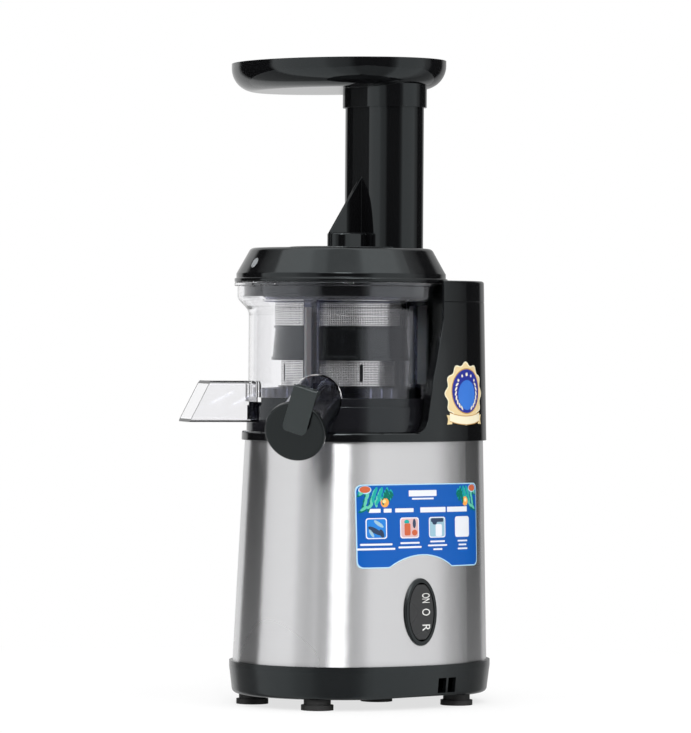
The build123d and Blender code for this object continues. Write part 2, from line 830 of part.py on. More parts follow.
with BuildPart() as stage_gear:
    small_phase = stage_angle + 180 + 180 / stage_small_teeth
    small_gear_low = big_gear_low + big_gear_height
    extrude(
        gear_section(stage_big_teeth, gear_module, motor_angle, stage_axis, big_gear_low),
        amount=big_gear_height,
    )
    extrude(
        gear_section(stage_small_teeth, gear_module, small_phase, stage_axis, small_gear_low),
        amount=output_gear_low + output_gear_height + 1 - small_gear_low,
    )
    with BuildSketch(Plane.XY.offset(big_gear_low)):
        with Locations(stage_axis):
            Circle(axle_radius + running)
    extrude(amount=case_height, mode=Mode.SUBTRACT)

with BuildPart() as motor_can:
    with BuildSketch(Plane.XY.offset(motor_bottom)):
        with Locations(motor_axis):
            Circle(motor_radius)
    extrude(amount=motor_length)
    with BuildSketch(Plane.XY.offset(motor_bottom)):
        with Locations(motor_axis):
            Circle(motor_radius - motor_wall)
    extrude(amount=motor_length - motor_plate, mode=Mode.SUBTRACT)
    with BuildSketch(Plane.XY.offset(motor_bottom)):
        with Locations(motor_axis):
            Circle(motor_bearing_radius + 0.02)
    extrude(amount=motor_length, mode=Mode.SUBTRACT)
    for window in range(3):
        with BuildSketch(Plane(origin=(0, motor_back, motor_bottom + 12), z_dir=across(window * 60, 1))):
            Rectangle(12, 16)
        extrude(amount=motor_radius + 5, both=True, mode=Mode.SUBTRACT)

with BuildPart() as motor_end_cap:
    with BuildSketch(Plane.XY.offset(motor_bottom - end_cap_height)):
        with Locations(motor_axis):
            Circle(motor_radius)
            Circle(motor_bearing_radius + 0.02, mode=Mode.SUBTRACT)
    extrude(amount=end_cap_height)

with BuildPart() as motor_bearings:
    for level, height in (
        (motor_bottom - end_cap_height, end_cap_height),
        (case_bottom - motor_plate, motor_plate),
    ):
        with BuildSketch(Plane.XY.offset(level)):
            with Locations(motor_axis):
                Circle(motor_bearing_radius)
                Circle(motor_shaft_radius + running, mode=Mode.SUBTRACT)
        extrude(amount=height)

stator_low = motor_bottom + 20
with BuildPart() as stator_core:
    with BuildSketch(Plane.XY.offset(stator_low)):
        with Locations(motor_axis):
            Circle(stator_outer)
            Circle(stator_inner, mode=Mode.SUBTRACT)
    extrude(amount=stator_height)

with BuildPart() as stator_windings:
    for level in (stator_low - winding_height, stator_low + stator_height):
        with BuildSketch(Plane.XY.offset(level)):
            with Locations(motor_axis):
                Circle(stator_outer - 2.5)
                Circle(stator_inner + 2, mode=Mode.SUBTRACT)
        extrude(amount=winding_height)

with BuildPart() as rotor_core:
    with BuildSketch(Plane.XY.offset(stator_low + 1)):
        with Locations(motor_axis):
            Circle(rotor_radius)
            Circle(motor_shaft_radius, mode=Mode.SUBTRACT)
    extrude(amount=stator_height - 2)

fan_level = motor_bottom - end_cap_height - 17
with BuildPart() as motor_shaft:
    with BuildSketch(Plane.XY.offset(fan_level - 1)):
        with Locations(motor_axis):
            Circle(motor_shaft_radius)
    extrude(amount=big_gear_low - fan_level + 1)

with BuildPart() as motor_pinion:
    pinion_phase = motor_angle + 180 + 180 / motor_teeth
    extrude(
        gear_section(motor_teeth, gear_module, pinion_phase, motor_axis, big_gear_low),
        amount=big_gear_height + 1,
    )

with BuildPart() as cooling_fan:
    with BuildSketch(Plane.XY.offset(fan_level)):
        with Locations(motor_axis):
            Circle(fan_radius)
            Circle(motor_shaft_radius, mode=Mode.SUBTRACT)
    extrude(amount=1.6)
    with BuildSketch(Plane.XY.offset(fan_level + 1.6)):
        with Locations(motor_axis):
            Circle(8)
            Circle(motor_shaft_radius, mode=Mode.SUBTRACT)
            with PolarLocations(17, fan_blades):
                Rectangle(19, 1.4, rotation=25)
    extrude(amount=10)

with BuildPart() as control_board:
    with BuildSketch(Plane.XY.offset(cover_floor + standoff_height)):
        with Locations((0, board_front)):
            Rectangle(board_size[0], board_size[1])
    extrude(amount=board_size[2])

board_top = cover_floor + standoff_height + board_size[2]
with BuildPart() as board_components:
    with BuildSketch(Plane.XY.offset(board_top)):
        with Locations((-13, board_front + 1)):
            Circle(8)
    extrude(amount=17)
    with BuildSketch(Plane.XY.offset(board_top)):
        with Locations((12, board_front - 5)):
            Rectangle(17, 13)
    extrude(amount=12)
    with BuildSketch(Plane.XY.offset(board_top)):
        with Locations((12, board_front + 9)):
            Rectangle(20, 7)
    extrude(amount=9)

# ================================================================ bowl
with BuildPart() as bowl_base:
    inner = base_radius - base_wall
    seal_hole = auger_stub + 3.0
    revolve(closed_section([
        (base_radius, bowl_bottom),
        (base_radius, base_top - base_ledge),
        (bowl_radius, base_top - base_ledge),
        (bowl_radius, base_top),
        (seal_hole, base_top),
        (seal_hole, base_top - floor_plate),
        (inner, base_top - floor_plate),
        (inner, bowl_bottom),
    ]), axis=Axis.Z)
    # duct under the floor that leads the pulp out to the chute
    with BuildSketch(along(chute_heading, base_top - chute_drop)):
        with Locations((duct_start, 0)):
            Rectangle(inner - 3 - duct_start, 2 * chute_half_width, align=(Align.MIN, Align.CENTER))
    extrude(amount=chute_drop - 1)
    with BuildSketch(along(chute_heading, base_top - chute_drop + chute_wall)):
        with Locations((duct_start + chute_wall, 0)):
            Rectangle(base_radius, 2 * (chute_half_width - chute_wall), align=(Align.MIN, Align.CENTER))
    extrude(amount=chute_drop - chute_wall - floor_plate, mode=Mode.SUBTRACT)
    with BuildSketch(along(chute_heading, base_top - floor_plate)):
        with Locations((pulp_slot[0], 0)):
            Rectangle(pulp_slot[1] - pulp_slot[0], pulp_slot_width, align=(Align.MIN, Align.CENTER))
    extrude(amount=floor_plate, mode=Mode.SUBTRACT)
    # window for the chute
    with BuildSketch(along(chute_heading, base_top - chute_drop - slip)):
        with Locations((inner - 3, 0)):
            Rectangle(30, 2 * (chute_half_width + slip), align=(Align.MIN, Align.CENTER))
    extrude(amount=chute_drop + slip, mode=Mode.SUBTRACT)
    add(spout_core(spout_radius + slip, -2 * slip), mode=Mode.SUBTRACT)
    # post for the wiper's pinion
    with BuildSketch(along(pinion_heading, base_top)):
        with Locations(((auger_teeth + wiper_pinion_teeth) * wiper_module / 2, 0)):
            Circle(pinion_post)
    extrude(amount=wiper_gear_height + seat_gap)

chute_root = base_radius - base_wall - 3 + slip
chute_low = base_top - chute_drop
chute_high = base_top + chute_rise
with BuildPart() as pulp_chute:
    # cut off aslant at its mouth, with rounded long edges
    extrude(closed_section([
        (chute_root, chute_low),
        (chute_reach, chute_low),
        (chute_reach - chute_undercut, chute_high),
        (chute_root, chute_high),
    ], upright(chute_heading)), amount=chute_half_width, both=True)
    chute_run = across(chute_heading, 1)
    long_edges = pulp_chute.edges().filter_by(lambda edge: abs(edge.tangent_at(0.5).dot(chute_run)) > 0.99)
    fillet(long_edges, chute_round)
    with BuildSketch(Plane.XY.offset(base_top)):
        Circle(bowl_inside)
    extrude(amount=chute_rise, mode=Mode.SUBTRACT)

with BuildPart() as clear_bowl:
    ring_low = bowl_rim - ring_height
    revolve(closed_section([
        (bowl_radius, base_top),
        (bowl_radius, ring_low - shoulder_height),
        (ring_radius, ring_low),
        (ring_radius, bowl_rim - rim_flange),
        (rim_radius, bowl_rim - rim_flange),
        (rim_radius, bowl_rim),
        (ring_inside, bowl_rim),
        (ring_inside, ring_low + 0.6),
        (bowl_inside, ring_low - shoulder_height + 1.0),
        (bowl_inside, base_top),
    ], rounds=[0, 8, 5, 0, 0.8, 0.8, 0.5, 3, 8, 0]), axis=Axis.Z)
    # bayonet lugs inside the ring
    for lug in range(lug_count):
        with BuildSketch(along(lug * 360 / lug_count, bowl_rim - 3.4)):
            Circle(ring_inside + 0.5)
            Circle(ring_inside - lug_reach + slip, mode=Mode.SUBTRACT)
            Polygon((0, 0), (100, -100 * math.tan(math.radians(lug_angle / 2))),
                    (100, 100 * math.tan(math.radians(lug_angle / 2))), align=None, mode=Mode.INTERSECT)
        extrude(amount=lug_height)
    # the pulp chute and the way through it
    add(pulp_chute.part)
    with BuildSketch(along(chute_heading, chute_low + chute_wall)):
        with Locations((bowl_radius, 0)):
            Rectangle(chute_reach, 2 * (chute_half_width - chute_wall), align=(Align.MIN, Align.CENTER))
    extrude(amount=chute_high - chute_low - 2 * chute_wall, mode=Mode.SUBTRACT)
    with BuildSketch(along(chute_heading, chute_low + chute_wall)):
        with Locations((chute_root - 1, 0)):
            Rectangle(30, 2 * (chute_half_width - chute_wall), align=(Align.MIN, Align.CENTER))
    extrude(amount=base_top - floor_plate - chute_low - chute_wall, mode=Mode.SUBTRACT)
    add(spout_core(spout_radius + slip, -2 * slip), mode=Mode.SUBTRACT)

with BuildPart() as juice_spout:
    add(spout_core(spout_radius))
    with BuildSketch(spout_mouth):
        Circle(spout_flange)
    extrude(amount=-spout_flange_thickness)
    # ears that hold the cap's pin
    ear_inner = knuckle_width / 2 + slip
    for side in (-1, 1):
        with BuildSketch(Plane(lever_plane.origin, x_dir=lever_plane.y_dir, z_dir=lever_plane.x_dir).offset(
                side * (ear_inner + ear_thickness / 2))):
            with Locations((hinge_up, -hinge_back)):
                Circle(knuckle_radius)
            with Locations((hinge_up, -hinge_back)):
                Rectangle(hinge_up - spout_radius + 4, 2 * knuckle_radius, align=(Align.MAX, Align.CENTER))
        extrude(amount=ear_thickness / 2, both=True)
    with BuildSketch(Plane(lever_plane.origin, x_dir=lever_plane.y_dir, z_dir=lever_plane.x_dir)):
        with Locations((hinge_up, -hinge_back)):
            Circle(hinge_pin + 0.02)
    extrude(amount=lever_width, both=True, mode=Mode.SUBTRACT)
    with BuildSketch(spout_mouth):
        Circle(spout_radius - spout_wall)
    extrude(amount=-spout_length + spout_wall, mode=Mode.SUBTRACT)
    # inside the bowl only the sump below the floor is left
    with BuildSketch(Plane.XY.offset(base_top)):
        Circle(bowl_inside)
    extrude(amount=chute_rise + 20, mode=Mode.SUBTRACT)

with BuildPart() as bowl_seal:
    with BuildSketch(Plane.XY.offset(base_top - floor_plate)):
        Circle(seal_hole - 0.02)
        Circle(auger_stub + running, mode=Mode.SUBTRACT)
    extrude(amount=floor_plate)

# ---------------------------------------------------------------- juice cap
lever_side = Plane(lever_plane.origin, x_dir=lever_plane.y_dir, z_dir=lever_plane.x_dir)
with BuildPart() as cap_pin:
    with BuildSketch(lever_side):
        with Locations((hinge_up, -hinge_back)):
            Circle(hinge_pin)
    extrude(amount=ear_inner + ear_thickness, both=True)

cap_back = seat_gap + gasket_thickness
with BuildPart() as juice_cap:
    with BuildSketch(spout_mouth.offset(cap_back)):
        Circle(cap_radius)
    extrude(amount=cap_thickness)
    fillet(juice_cap.faces().sort_by(outward(spout_mouth))[-1].edges(), 1.4)
    with BuildSketch(spout_mouth.offset(cap_back)):
        Circle(cap_plug)
    extrude(amount=-cap_back - 2)

with BuildPart() as cap_gasket:
    with BuildSketch(spout_mouth.offset(cap_back)):
        Circle(spout_radius)
        Circle(cap_plug + slip, mode=Mode.SUBTRACT)
    extrude(amount=-gasket_thickness)

with BuildPart() as cap_lever:
    # side view of the lever: X is up the lever, Y is out from the spout
    over = hinge_up + knuckle_radius + slip
    steepness = lever_lean / (lever_top - lever_tip)
    extrude(closed_section([
        (over, -hinge_back - 2),
        (over, lever_stand_off - steepness * (over - lever_tip)),
        (lever_tip, lever_stand_off),
        (lever_tip, lever_stand_off + lever_thickness),
        (lever_top, lever_stand_off + lever_thickness - lever_lean),
        (lever_top, lever_stand_off - lever_lean),
        (over + lever_roof, lever_stand_off - steepness * (over + lever_roof - lever_tip)),
        (over + lever_roof, -hinge_back - 2),
    ], lever_side, rounds=[0, 1, 0.8, 0.8, 0.8, 0.8, 1, 1.2]), amount=lever_width / 2, both=True)
    with BuildSketch(lever_plane.offset(-20)) as front:
        with Locations((0, lever_tip)):
            Rectangle(lever_width, lever_top - lever_tip + 8, align=(Align.CENTER, Align.MIN))
        fillet(front.vertices(), 4)
    extrude(amount=40, mode=Mode.INTERSECT)
    with BuildSketch(lever_side):
        with Locations((hinge_up, -hinge_back)):
            Circle(knuckle_radius)
            Rectangle(over - hinge_up + 0.5, 1.6 * knuckle_radius, align=(Align.MIN, Align.CENTER))
    extrude(amount=knuckle_width / 2, both=True)
    with BuildSketch(lever_side):
        with Locations((hinge_up, -hinge_back)):
            Circle(hinge_pin + running)
    extrude(amount=knuckle_width, both=True, mode=Mode.SUBTRACT)
    with BuildSketch(lever_plane.offset(cap_back + cap_thickness)):
        with Locations((0, 11)):
            Circle(5)
    extrude(amount=lever_stand_off - cap_back - cap_thickness)

# ---------------------------------------------------------------- strainer
with BuildPart() as strainer_frame:
    foot = (lower_screen_radius - foot_inset, lower_screen_radius + foot_step)
    revolve(ring(foot[0], foot[1], strainer_bottom, screen_bottom), axis=Axis.Z)
    revolve(closed_section([
        (lower_screen_radius - screen_wall - 0.6, band_bottom),
        (band_low_radius, band_bottom),
        (band_low_radius, band_bottom + band_flange),
        (band_low_radius - 0.8, band_bottom + band_flange + 0.8),
        (band_high_radius - 0.8, band_top - 2),
        (band_high_radius, band_top - 1.2),
        (band_high_radius, band_top),
        (band_high_radius - band_wall, band_top),
        (band_low_radius - band_wall - 0.8, band_bottom + band_flange + 1),
        (lower_screen_radius - screen_wall - 0.6, band_bottom + band_flange),
    ]), axis=Axis.Z)
    rim_low = strainer_top
    revolve(ring(upper_screen_radius - screen_wall, strainer_rim, rim_low, rim_low + strainer_rim_height),
            axis=Axis.Z)
    for level, height, radius in (
        (screen_bottom, lower_screen_height, lower_screen_radius),
        (band_top, upper_screen_height, upper_screen_radius),
    ):
        for rib in range(strainer_ribs):
            with BuildSketch(along(wiper_heading + rib * 360 / strainer_ribs, level)):
                with Locations((radius + slip / 2, 0)):
                    Rectangle(1.7, rib_width, align=(Align.MIN, Align.CENTER))
            extrude(amount=height)
    # room for the wiper's pinion
    with BuildSketch(along(pinion_heading, strainer_bottom)):
        with Locations(((auger_teeth + wiper_pinion_teeth) * wiper_module / 2, 0)):
            Circle((wiper_pinion_teeth / 2 + 0.8) * wiper_module + 0.8)
    extrude(amount=wiper_gear_height + 0.4, mode=Mode.SUBTRACT)

with BuildPart() as lower_screen:
    with BuildSketch(Plane.XY.offset(screen_bottom)):
        Circle(lower_screen_radius)
        Circle(lower_screen_radius - screen_wall, mode=Mode.SUBTRACT)
    extrude(amount=lower_screen_height)
    for slot in range(screen_slots):
        with BuildSketch(Plane(origin=(0, 0, screen_bottom + lower_screen_height / 2),
                               x_dir=(0, 0, 1), z_dir=across(slot_turn + slot * 360 / screen_slots, 1))):
            SlotOverall(lower_screen_height - 2 * slot_margin, slot_width)
        extrude(amount=lower_screen_radius + 2, mode=Mode.SUBTRACT)

with BuildPart() as upper_screen:
    with BuildSketch(Plane.XY.offset(band_top)):
        Circle(upper_screen_radius)
        Circle(upper_screen_radius - screen_wall, mode=Mode.SUBTRACT)
    extrude(amount=upper_screen_height)

# ---------------------------------------------------------------- wiper cage and its pinion
pinion_reach = (auger_teeth + wiper_pinion_teeth) * wiper_module / 2
pinion_centre = across(pinion_heading, pinion_reach)
mesh_angle = pinion_heading - 90
with BuildPart() as wiper_pinion:
    phase = mesh_angle + 180 + 180 / wiper_pinion_teeth
    extrude(
        gear_section(wiper_pinion_teeth, wiper_module, phase, (pinion_centre.X, pinion_centre.Y),
                     base_top + seat_gap),
        amount=wiper_gear_height - 2 * seat_gap,
    )
    with BuildSketch(along(pinion_heading, base_top)):
        with Locations((pinion_reach, 0)):
            Circle(pinion_post + running)
    extrude(amount=20, mode=Mode.SUBTRACT)

with BuildPart() as wiper_ring:
    pitch = wiper_teeth * wiper_module / 2
    with BuildSketch(Plane.XY.offset(base_top + seat_gap)):
        Circle(wiper_ring_radius)
        Circle(pitch + 1.15 * wiper_module, mode=Mode.SUBTRACT)
        with PolarLocations(0, wiper_teeth, start_angle=mesh_angle + 180 / wiper_teeth):
            foot = pitch + 1.5 * wiper_module
            tip = pitch - 0.8 * wiper_module
            Polygon(
                (foot, -0.92 * wiper_module), (foot, 0.92 * wiper_module),
                (tip, 0.34 * wiper_module), (tip, -0.34 * wiper_module), align=None,
            )
    extrude(amount=wiper_gear_height - seat_gap)

arm_low = base_top + wiper_gear_height
with BuildPart() as wiper_frame:
    for arm in range(wiper_arms):
        with BuildSketch(along(wiper_heading + arm * 360 / wiper_arms, arm_low)):
            with Locations((arm_radius, 0)):
                Rectangle(arm_thickness, arm_width, align=(Align.MIN, Align.CENTER))
        extrude(amount=arm_height)
        # foot that stands on the toothed ring
        with BuildSketch(along(wiper_heading + arm * 360 / wiper_arms, arm_low)):
            with Locations((arm_radius, 0)):
                Rectangle(wiper_ring_radius - arm_radius - 0.3, arm_width, align=(Align.MIN, Align.CENTER))
        extrude(amount=arm_foot)
    with BuildSketch(Plane.XY.offset(arm_low + arm_height - arm_ring_height)):
        Circle(arm_radius + arm_thickness + 0.8)
        Circle(arm_radius, mode=Mode.SUBTRACT)
    extrude(amount=arm_ring_height)

with BuildPart() as wiper_blades:
    for arm in range(wiper_arms):
        heading = wiper_heading + arm * 360 / wiper_arms
        with BuildSketch(along(heading, arm_low + 3)):
            with Locations((blade_inner, 0)):
                Rectangle(arm_radius - blade_inner, blade_thickness, align=(Align.MIN, Align.CENTER))
            with Locations((arm_radius + arm_thickness, 0)):
                reach = blade_outer - arm_radius - arm_thickness
                Rectangle(reach, blade_thickness, align=(Align.MIN, Align.CENTER))
        extrude(amount=arm_height - arm_ring_height - 6)

# ================================================================ auger
auger_low = base_top + wiper_gear_height + 0.6
flight_low = screen_bottom + 2
flight_high = strainer_top + 2
flight_run = flight_high - flight_low
auger_foot = auger_lower_radius - auger_wall
pin_low = lid_bottom + 2.5
flight_angle = 360 * flight_thickness / auger_pitch
with BuildSketch(Plane.XY.offset(flight_low)) as flight_section:
    Circle(auger_stub)
    for begin in range(auger_starts):
        with BuildLine():
            middle = begin * 360 / auger_starts
            CenterArc((0, 0), auger_upper_radius + 6, middle - flight_angle / 2, flight_angle)
            edge_low = Vector(auger_upper_radius + 6, 0).rotate(Axis.Z, middle - flight_angle / 2)
            edge_high = Vector(auger_upper_radius + 6, 0).rotate(Axis.Z, middle + flight_angle / 2)
            Line(edge_high, (0, 0))
            Line((0, 0), edge_low)
        make_face()

with BuildPart() as flights:
    # a section that turns as it rises, trimmed to the inside of the two screens
    turned = Solid.extrude_linear_with_rotation(
        flight_section.sketch.faces()[0],
        (0, 0, flight_low),
        (0, 0, flight_run),
        360 * flight_run / auger_pitch,
    )
    revolve(closed_section([
        (0, flight_low - 1),
        (auger_lower_radius, flight_low - 1),
        (auger_lower_radius, band_bottom + band_flange),
        (auger_upper_radius, band_bottom + band_flange + 6),
        (auger_upper_radius, flight_high - 8),
        (auger_upper_radius - 6, flight_high - 1),
        (0, flight_high - 1),
    ]), axis=Axis.Z)
    add(turned, mode=Mode.INTERSECT)

with BuildPart() as auger:
    revolve(closed_section([
        (0, stub_bottom),
        (auger_stub, stub_bottom),
        (auger_stub, auger_low),
        (auger_foot, auger_low),
        (auger_foot, flight_low + 1),
        (0.94 * auger_foot, flight_low + 0.29 * flight_run),
        (0.61 * auger_foot, flight_low + 0.61 * flight_run),
        (0.36 * auger_foot, flight_low + 0.82 * flight_run),
        (0.3 * auger_foot, pin_low),
        (auger_pin, pin_low),
        (auger_pin, pin_low + 11),
        (0, pin_low + 11),
    ]), axis=Axis.Z)
    add(flights.part)
    extrude(gear_section(auger_teeth, wiper_module, mesh_angle, height=base_top + seat_gap),
            amount=auger_low - base_top - seat_gap)
    with BuildSketch(Plane.XY.offset(stub_bottom)):
        RegularPolygon(hexagon / 2 + hexagon_gap / 2, 6, major_radius=False)
    extrude(amount=13, mode=Mode.SUBTRACT)

# ================================================================ lid, feed tube and tray
with BuildPart() as lid:
    inner_deck = lid_deck - lid_wall
    revolve(closed_section([
        (0, lid_deck),
        (lid_top_radius, lid_deck),
        (lid_radius, lid_bottom + lid_band),
        (lid_radius, lid_bottom + lid_lip),
        (rim_radius, lid_bottom + lid_lip),
        (rim_radius, lid_bottom),
        (lid_plug, lid_bottom),
        (lid_plug, lid_bottom - lid_plug_depth),
        (lid_plug - 2, lid_bottom - lid_plug_depth),
        (lid_plug - 2, lid_bottom + 2),
        (lid_top_radius - 3, inner_deck),
        (0, inner_deck),
    ], rounds=[0, 4, 1, 0.4, 0.6, 0.6, 0, 0, 0, 0, 3, 0]), axis=Axis.Z)
    with BuildSketch(Plane.XY.offset(lid_deck)):
        Circle(lid_disc_radius)
    extrude(amount=lid_disc_height)
    fillet(lid.faces().sort_by(Axis.Z)[-1].edges(), lid_disc_round)
    with BuildSketch(Plane.XY.offset(lid_deck)) as hub:
        Circle(hub_radius)
        with Locations((0, 9)):
            Circle(hub_radius)
        make_hull()
    extrude(amount=hub_height)
    fillet(lid.faces().sort_by(Axis.Z)[-1].edges(), 1.5)
    rib = closed_section([
        (-hub_radius - 1, lid_deck), (tube_back - tube_width / 2 + 1, lid_deck),
        (tube_back - tube_width / 2 + 1, lid_deck + rib_rise), (-hub_radius - 1, lid_deck + hub_height),
    ], Plane.YZ)
    extrude(rib, amount=rib_thickness / 2, both=True)
    with BuildSketch(Plane.XY.offset(inner_deck)):
        with Locations((0, tube_back)):
            SlotOverall(tube_length, tube_width)
    extrude(amount=tube_height + lid_wall)
    with BuildSketch(Plane.XY.offset(inner_deck)):
        with Locations((0, tube_back)):
            SlotOverall(throat_length, throat_width)
    extrude(amount=tube_height + lid_wall, mode=Mode.SUBTRACT)
    with BuildSketch(Plane.XY.offset(pin_low + 2)):
        Circle(bush_radius + 2.5)
    extrude(amount=inner_deck - pin_low - 2)
    with BuildSketch(Plane.XY.offset(pin_low + 2)):
        Circle(bush_radius + running)
    extrude(amount=bush_height + 0.3, mode=Mode.SUBTRACT)
    for lug in range(lug_count):
        with BuildSketch(along(lug * 360 / lug_count + lid_turn, lid_bottom - lug_drop)):
            Circle(lid_plug + lug_reach - slip)
            Circle(lid_plug - 0.5, mode=Mode.SUBTRACT)
            Polygon((0, 0), (100, -100 * math.tan(math.radians(lug_angle / 2))),
                    (100, 100 * math.tan(math.radians(lug_angle / 2))), align=None, mode=Mode.INTERSECT)
        extrude(amount=lug_height)
    # groove for the gasket and a pocket for the magnet
    with BuildSketch(Plane.XY.offset(lid_bottom)):
        Circle(lid_radius - 0.6)
        Circle(lid_radius - 2.6, mode=Mode.SUBTRACT)
    extrude(amount=2, mode=Mode.SUBTRACT)
    with BuildSketch(along(magnet_heading, lid_bottom)):
        with Locations((magnet_reach, 0)):
            Rectangle(2.4, 8)
    extrude(amount=4.6, mode=Mode.SUBTRACT)

with BuildPart() as lid_gasket:
    with BuildSketch(Plane.XY.offset(lid_bottom + 0.1)):
        Circle(lid_radius - 0.65)
        Circle(lid_radius - 2.55, mode=Mode.SUBTRACT)
    extrude(amount=1.9)

with BuildPart() as lid_magnet:
    with BuildSketch(along(magnet_heading, lid_bottom + 0.2)):
        with Locations((magnet_reach, 0)):
            Rectangle(2.3, 7.9)
    extrude(amount=4.4)

with BuildPart() as lid_bush:
    with BuildSketch(Plane.XY.offset(pin_low + 2.2)):
        Circle(bush_radius)
        Circle(auger_pin + running, mode=Mode.SUBTRACT)
    extrude(amount=bush_height)

with BuildPart() as tray_hollow:
    with BuildSketch(Plane.XY.offset(tray_bottom + tray_wall)):
        with Locations((-tray_left, tube_back)):
            Ellipse(tray_length / 2 - tray_wall, tray_width / 2 - tray_wall)
    extrude(amount=tray_depth)
    fillet(tray_hollow.faces().sort_by(Axis.Z)[0].edges(), tray_corner - tray_wall)

with BuildPart() as feed_tray:
    with BuildSketch(Plane.XY.offset(tray_bottom)):
        with Locations((-tray_left, tube_back)):
            Ellipse(tray_length / 2, tray_width / 2)
    extrude(amount=tray_depth)
    fillet(feed_tray.faces().sort_by(Axis.Z)[0].edges(), tray_corner)
    add(tray_hollow.part, mode=Mode.SUBTRACT)
    with BuildSketch(Plane.XY.offset(tube_top - collar_depth)):
        with Locations((0, tube_back)):
            SlotOverall(tube_length + 2 * collar_wall, tube_width + 2 * collar_wall)
    extrude(amount=tray_bottom + tray_wall - tube_top + collar_depth)
    with BuildSketch(Plane.XY.offset(tube_top - collar_depth)):
        with Locations((0, tube_back)):
            SlotOverall(tube_length + 2 * seat_gap, tube_width + 2 * seat_gap)
    extrude(amount=collar_depth, mode=Mode.SUBTRACT)
    with BuildSketch(Plane.XY.offset(tube_top)):
        with Locations((0, tube_back)):
            SlotOverall(throat_length, throat_width)
    extrude(amount=30, mode=Mode.SUBTRACT)

# ================================================================ labels and files
pieces = {
    "base_cover": base_cover,
    "rubber_feet": rubber_feet,
    "housing_screws": housing_screws,
    "steel_sleeve": steel_sleeve,
    "switch_bezel": switch_bezel,
    "switch_rocker": switch_rocker,
    "switch_body": switch_body,
    "cord_gland": cord_gland,
    "upper_housing": upper_housing,
    "column_cap": column_cap,
    "reed_switch": reed_switch,
    "gearbox_case": gearbox_case,
    "gearbox_lid": gearbox_lid,
    "stage_axle": stage_axle,
    "shaft_bearings": shaft_bearings,
    "mount_grommets": mount_grommets,
    "mount_screws": mount_screws,
    "shaft_seal": shaft_seal,
    "drive_shaft": drive_shaft,
    "output_gear": output_gear,
    "stage_gear": stage_gear,
    "motor_can": motor_can,
    "motor_end_cap": motor_end_cap,
    "motor_bearings": motor_bearings,
    "stator_core": stator_core,
    "stator_windings": stator_windings,
    "rotor_core": rotor_core,
    "motor_shaft": motor_shaft,
    "motor_pinion": motor_pinion,
    "cooling_fan": cooling_fan,
    "control_board": control_board,
    "board_components": board_components,
    "bowl_base": bowl_base,
    "clear_bowl": clear_bowl,
    "juice_spout": juice_spout,
    "bowl_seal": bowl_seal,
    "cap_pin": cap_pin,
    "juice_cap": juice_cap,
    "cap_gasket": cap_gasket,
    "cap_lever": cap_lever,
    "strainer_frame": strainer_frame,
    "lower_screen": lower_screen,
    "upper_screen": upper_screen,
    "wiper_pinion": wiper_pinion,
    "wiper_ring": wiper_ring,
    "wiper_frame": wiper_frame,
    "wiper_blades": wiper_blades,
    "auger": auger,
    "lid": lid,
    "lid_gasket": lid_gasket,
    "lid_magnet": lid_magnet,
    "lid_bush": lid_bush,
    "feed_tray": feed_tray,
}
whole = Compound([piece.part for piece in pieces.values()]).bounding_box()
home = Location((-whole.center().X, -whole.center().Y, 0))
for name, piece in pieces.items():
    placed = piece.part.moved(home)
    placed.label = name
    export_step(placed, f"parts/{name}.step")
print("bowl axis at", -whole.center().X, -whole.center().Y, "size", whole.size)
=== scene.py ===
import math
import bmesh
import bpy
from mathutils import Matrix
from mathutils import Quaternion
from mathutils import Vector
from mathutils.bvhtree import BVHTree


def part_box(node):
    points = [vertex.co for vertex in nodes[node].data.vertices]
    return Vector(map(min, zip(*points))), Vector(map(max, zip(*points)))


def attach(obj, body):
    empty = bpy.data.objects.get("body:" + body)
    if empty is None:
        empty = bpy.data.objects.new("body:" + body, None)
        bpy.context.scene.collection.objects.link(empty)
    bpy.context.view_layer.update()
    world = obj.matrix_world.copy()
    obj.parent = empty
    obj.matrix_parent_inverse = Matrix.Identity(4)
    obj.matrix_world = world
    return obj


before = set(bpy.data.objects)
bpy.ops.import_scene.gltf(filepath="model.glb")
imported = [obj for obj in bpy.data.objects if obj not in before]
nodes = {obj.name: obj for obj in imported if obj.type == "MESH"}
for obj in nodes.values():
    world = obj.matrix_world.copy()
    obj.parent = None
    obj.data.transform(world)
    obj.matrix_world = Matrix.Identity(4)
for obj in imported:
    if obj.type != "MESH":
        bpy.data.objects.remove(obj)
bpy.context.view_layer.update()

scene = bpy.context.scene
scene.view_settings.view_transform = "Standard"
mm = 0.001


# ---------------------------------------------------------------- places and directions
def middle(node):
    """Centre of a CAD node's box."""
    low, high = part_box(node)
    return (low + high) / 2


def outward_from(heading, lean=0.0):
    """The direction away from the body at a heading from its front, tipped up by a lean."""
    turn = math.radians(heading)
    tip = math.radians(lean)
    flat = math.cos(tip)
    return Vector((math.sin(turn) * flat, -math.cos(turn) * flat, math.sin(tip)))


seal_centre = middle("bowl_seal")
bowl_axis = Vector((seal_centre.x, seal_centre.y, 0.0))


def facing(heading, lean, middle_mm):
    """Axes with X to the right, Y up and Z out of the body, at a point from the bowl's axis."""
    out = outward_from(heading, lean)
    right = outward_from(heading + 90)
    axes = Matrix((right, out.cross(right), out)).transposed().to_4x4()
    axes.translation = bowl_axis + Vector(middle_mm) * mm
    return axes


# ---------------------------------------------------------------- camera
camera_heading = 49.5
camera_distance = 3.143
camera_height = 0.250
camera_roll = 0.385
camera_lens = 229.36
sensor_width = 36.0
aim_height = 0.2268
aim_right = 0.00336

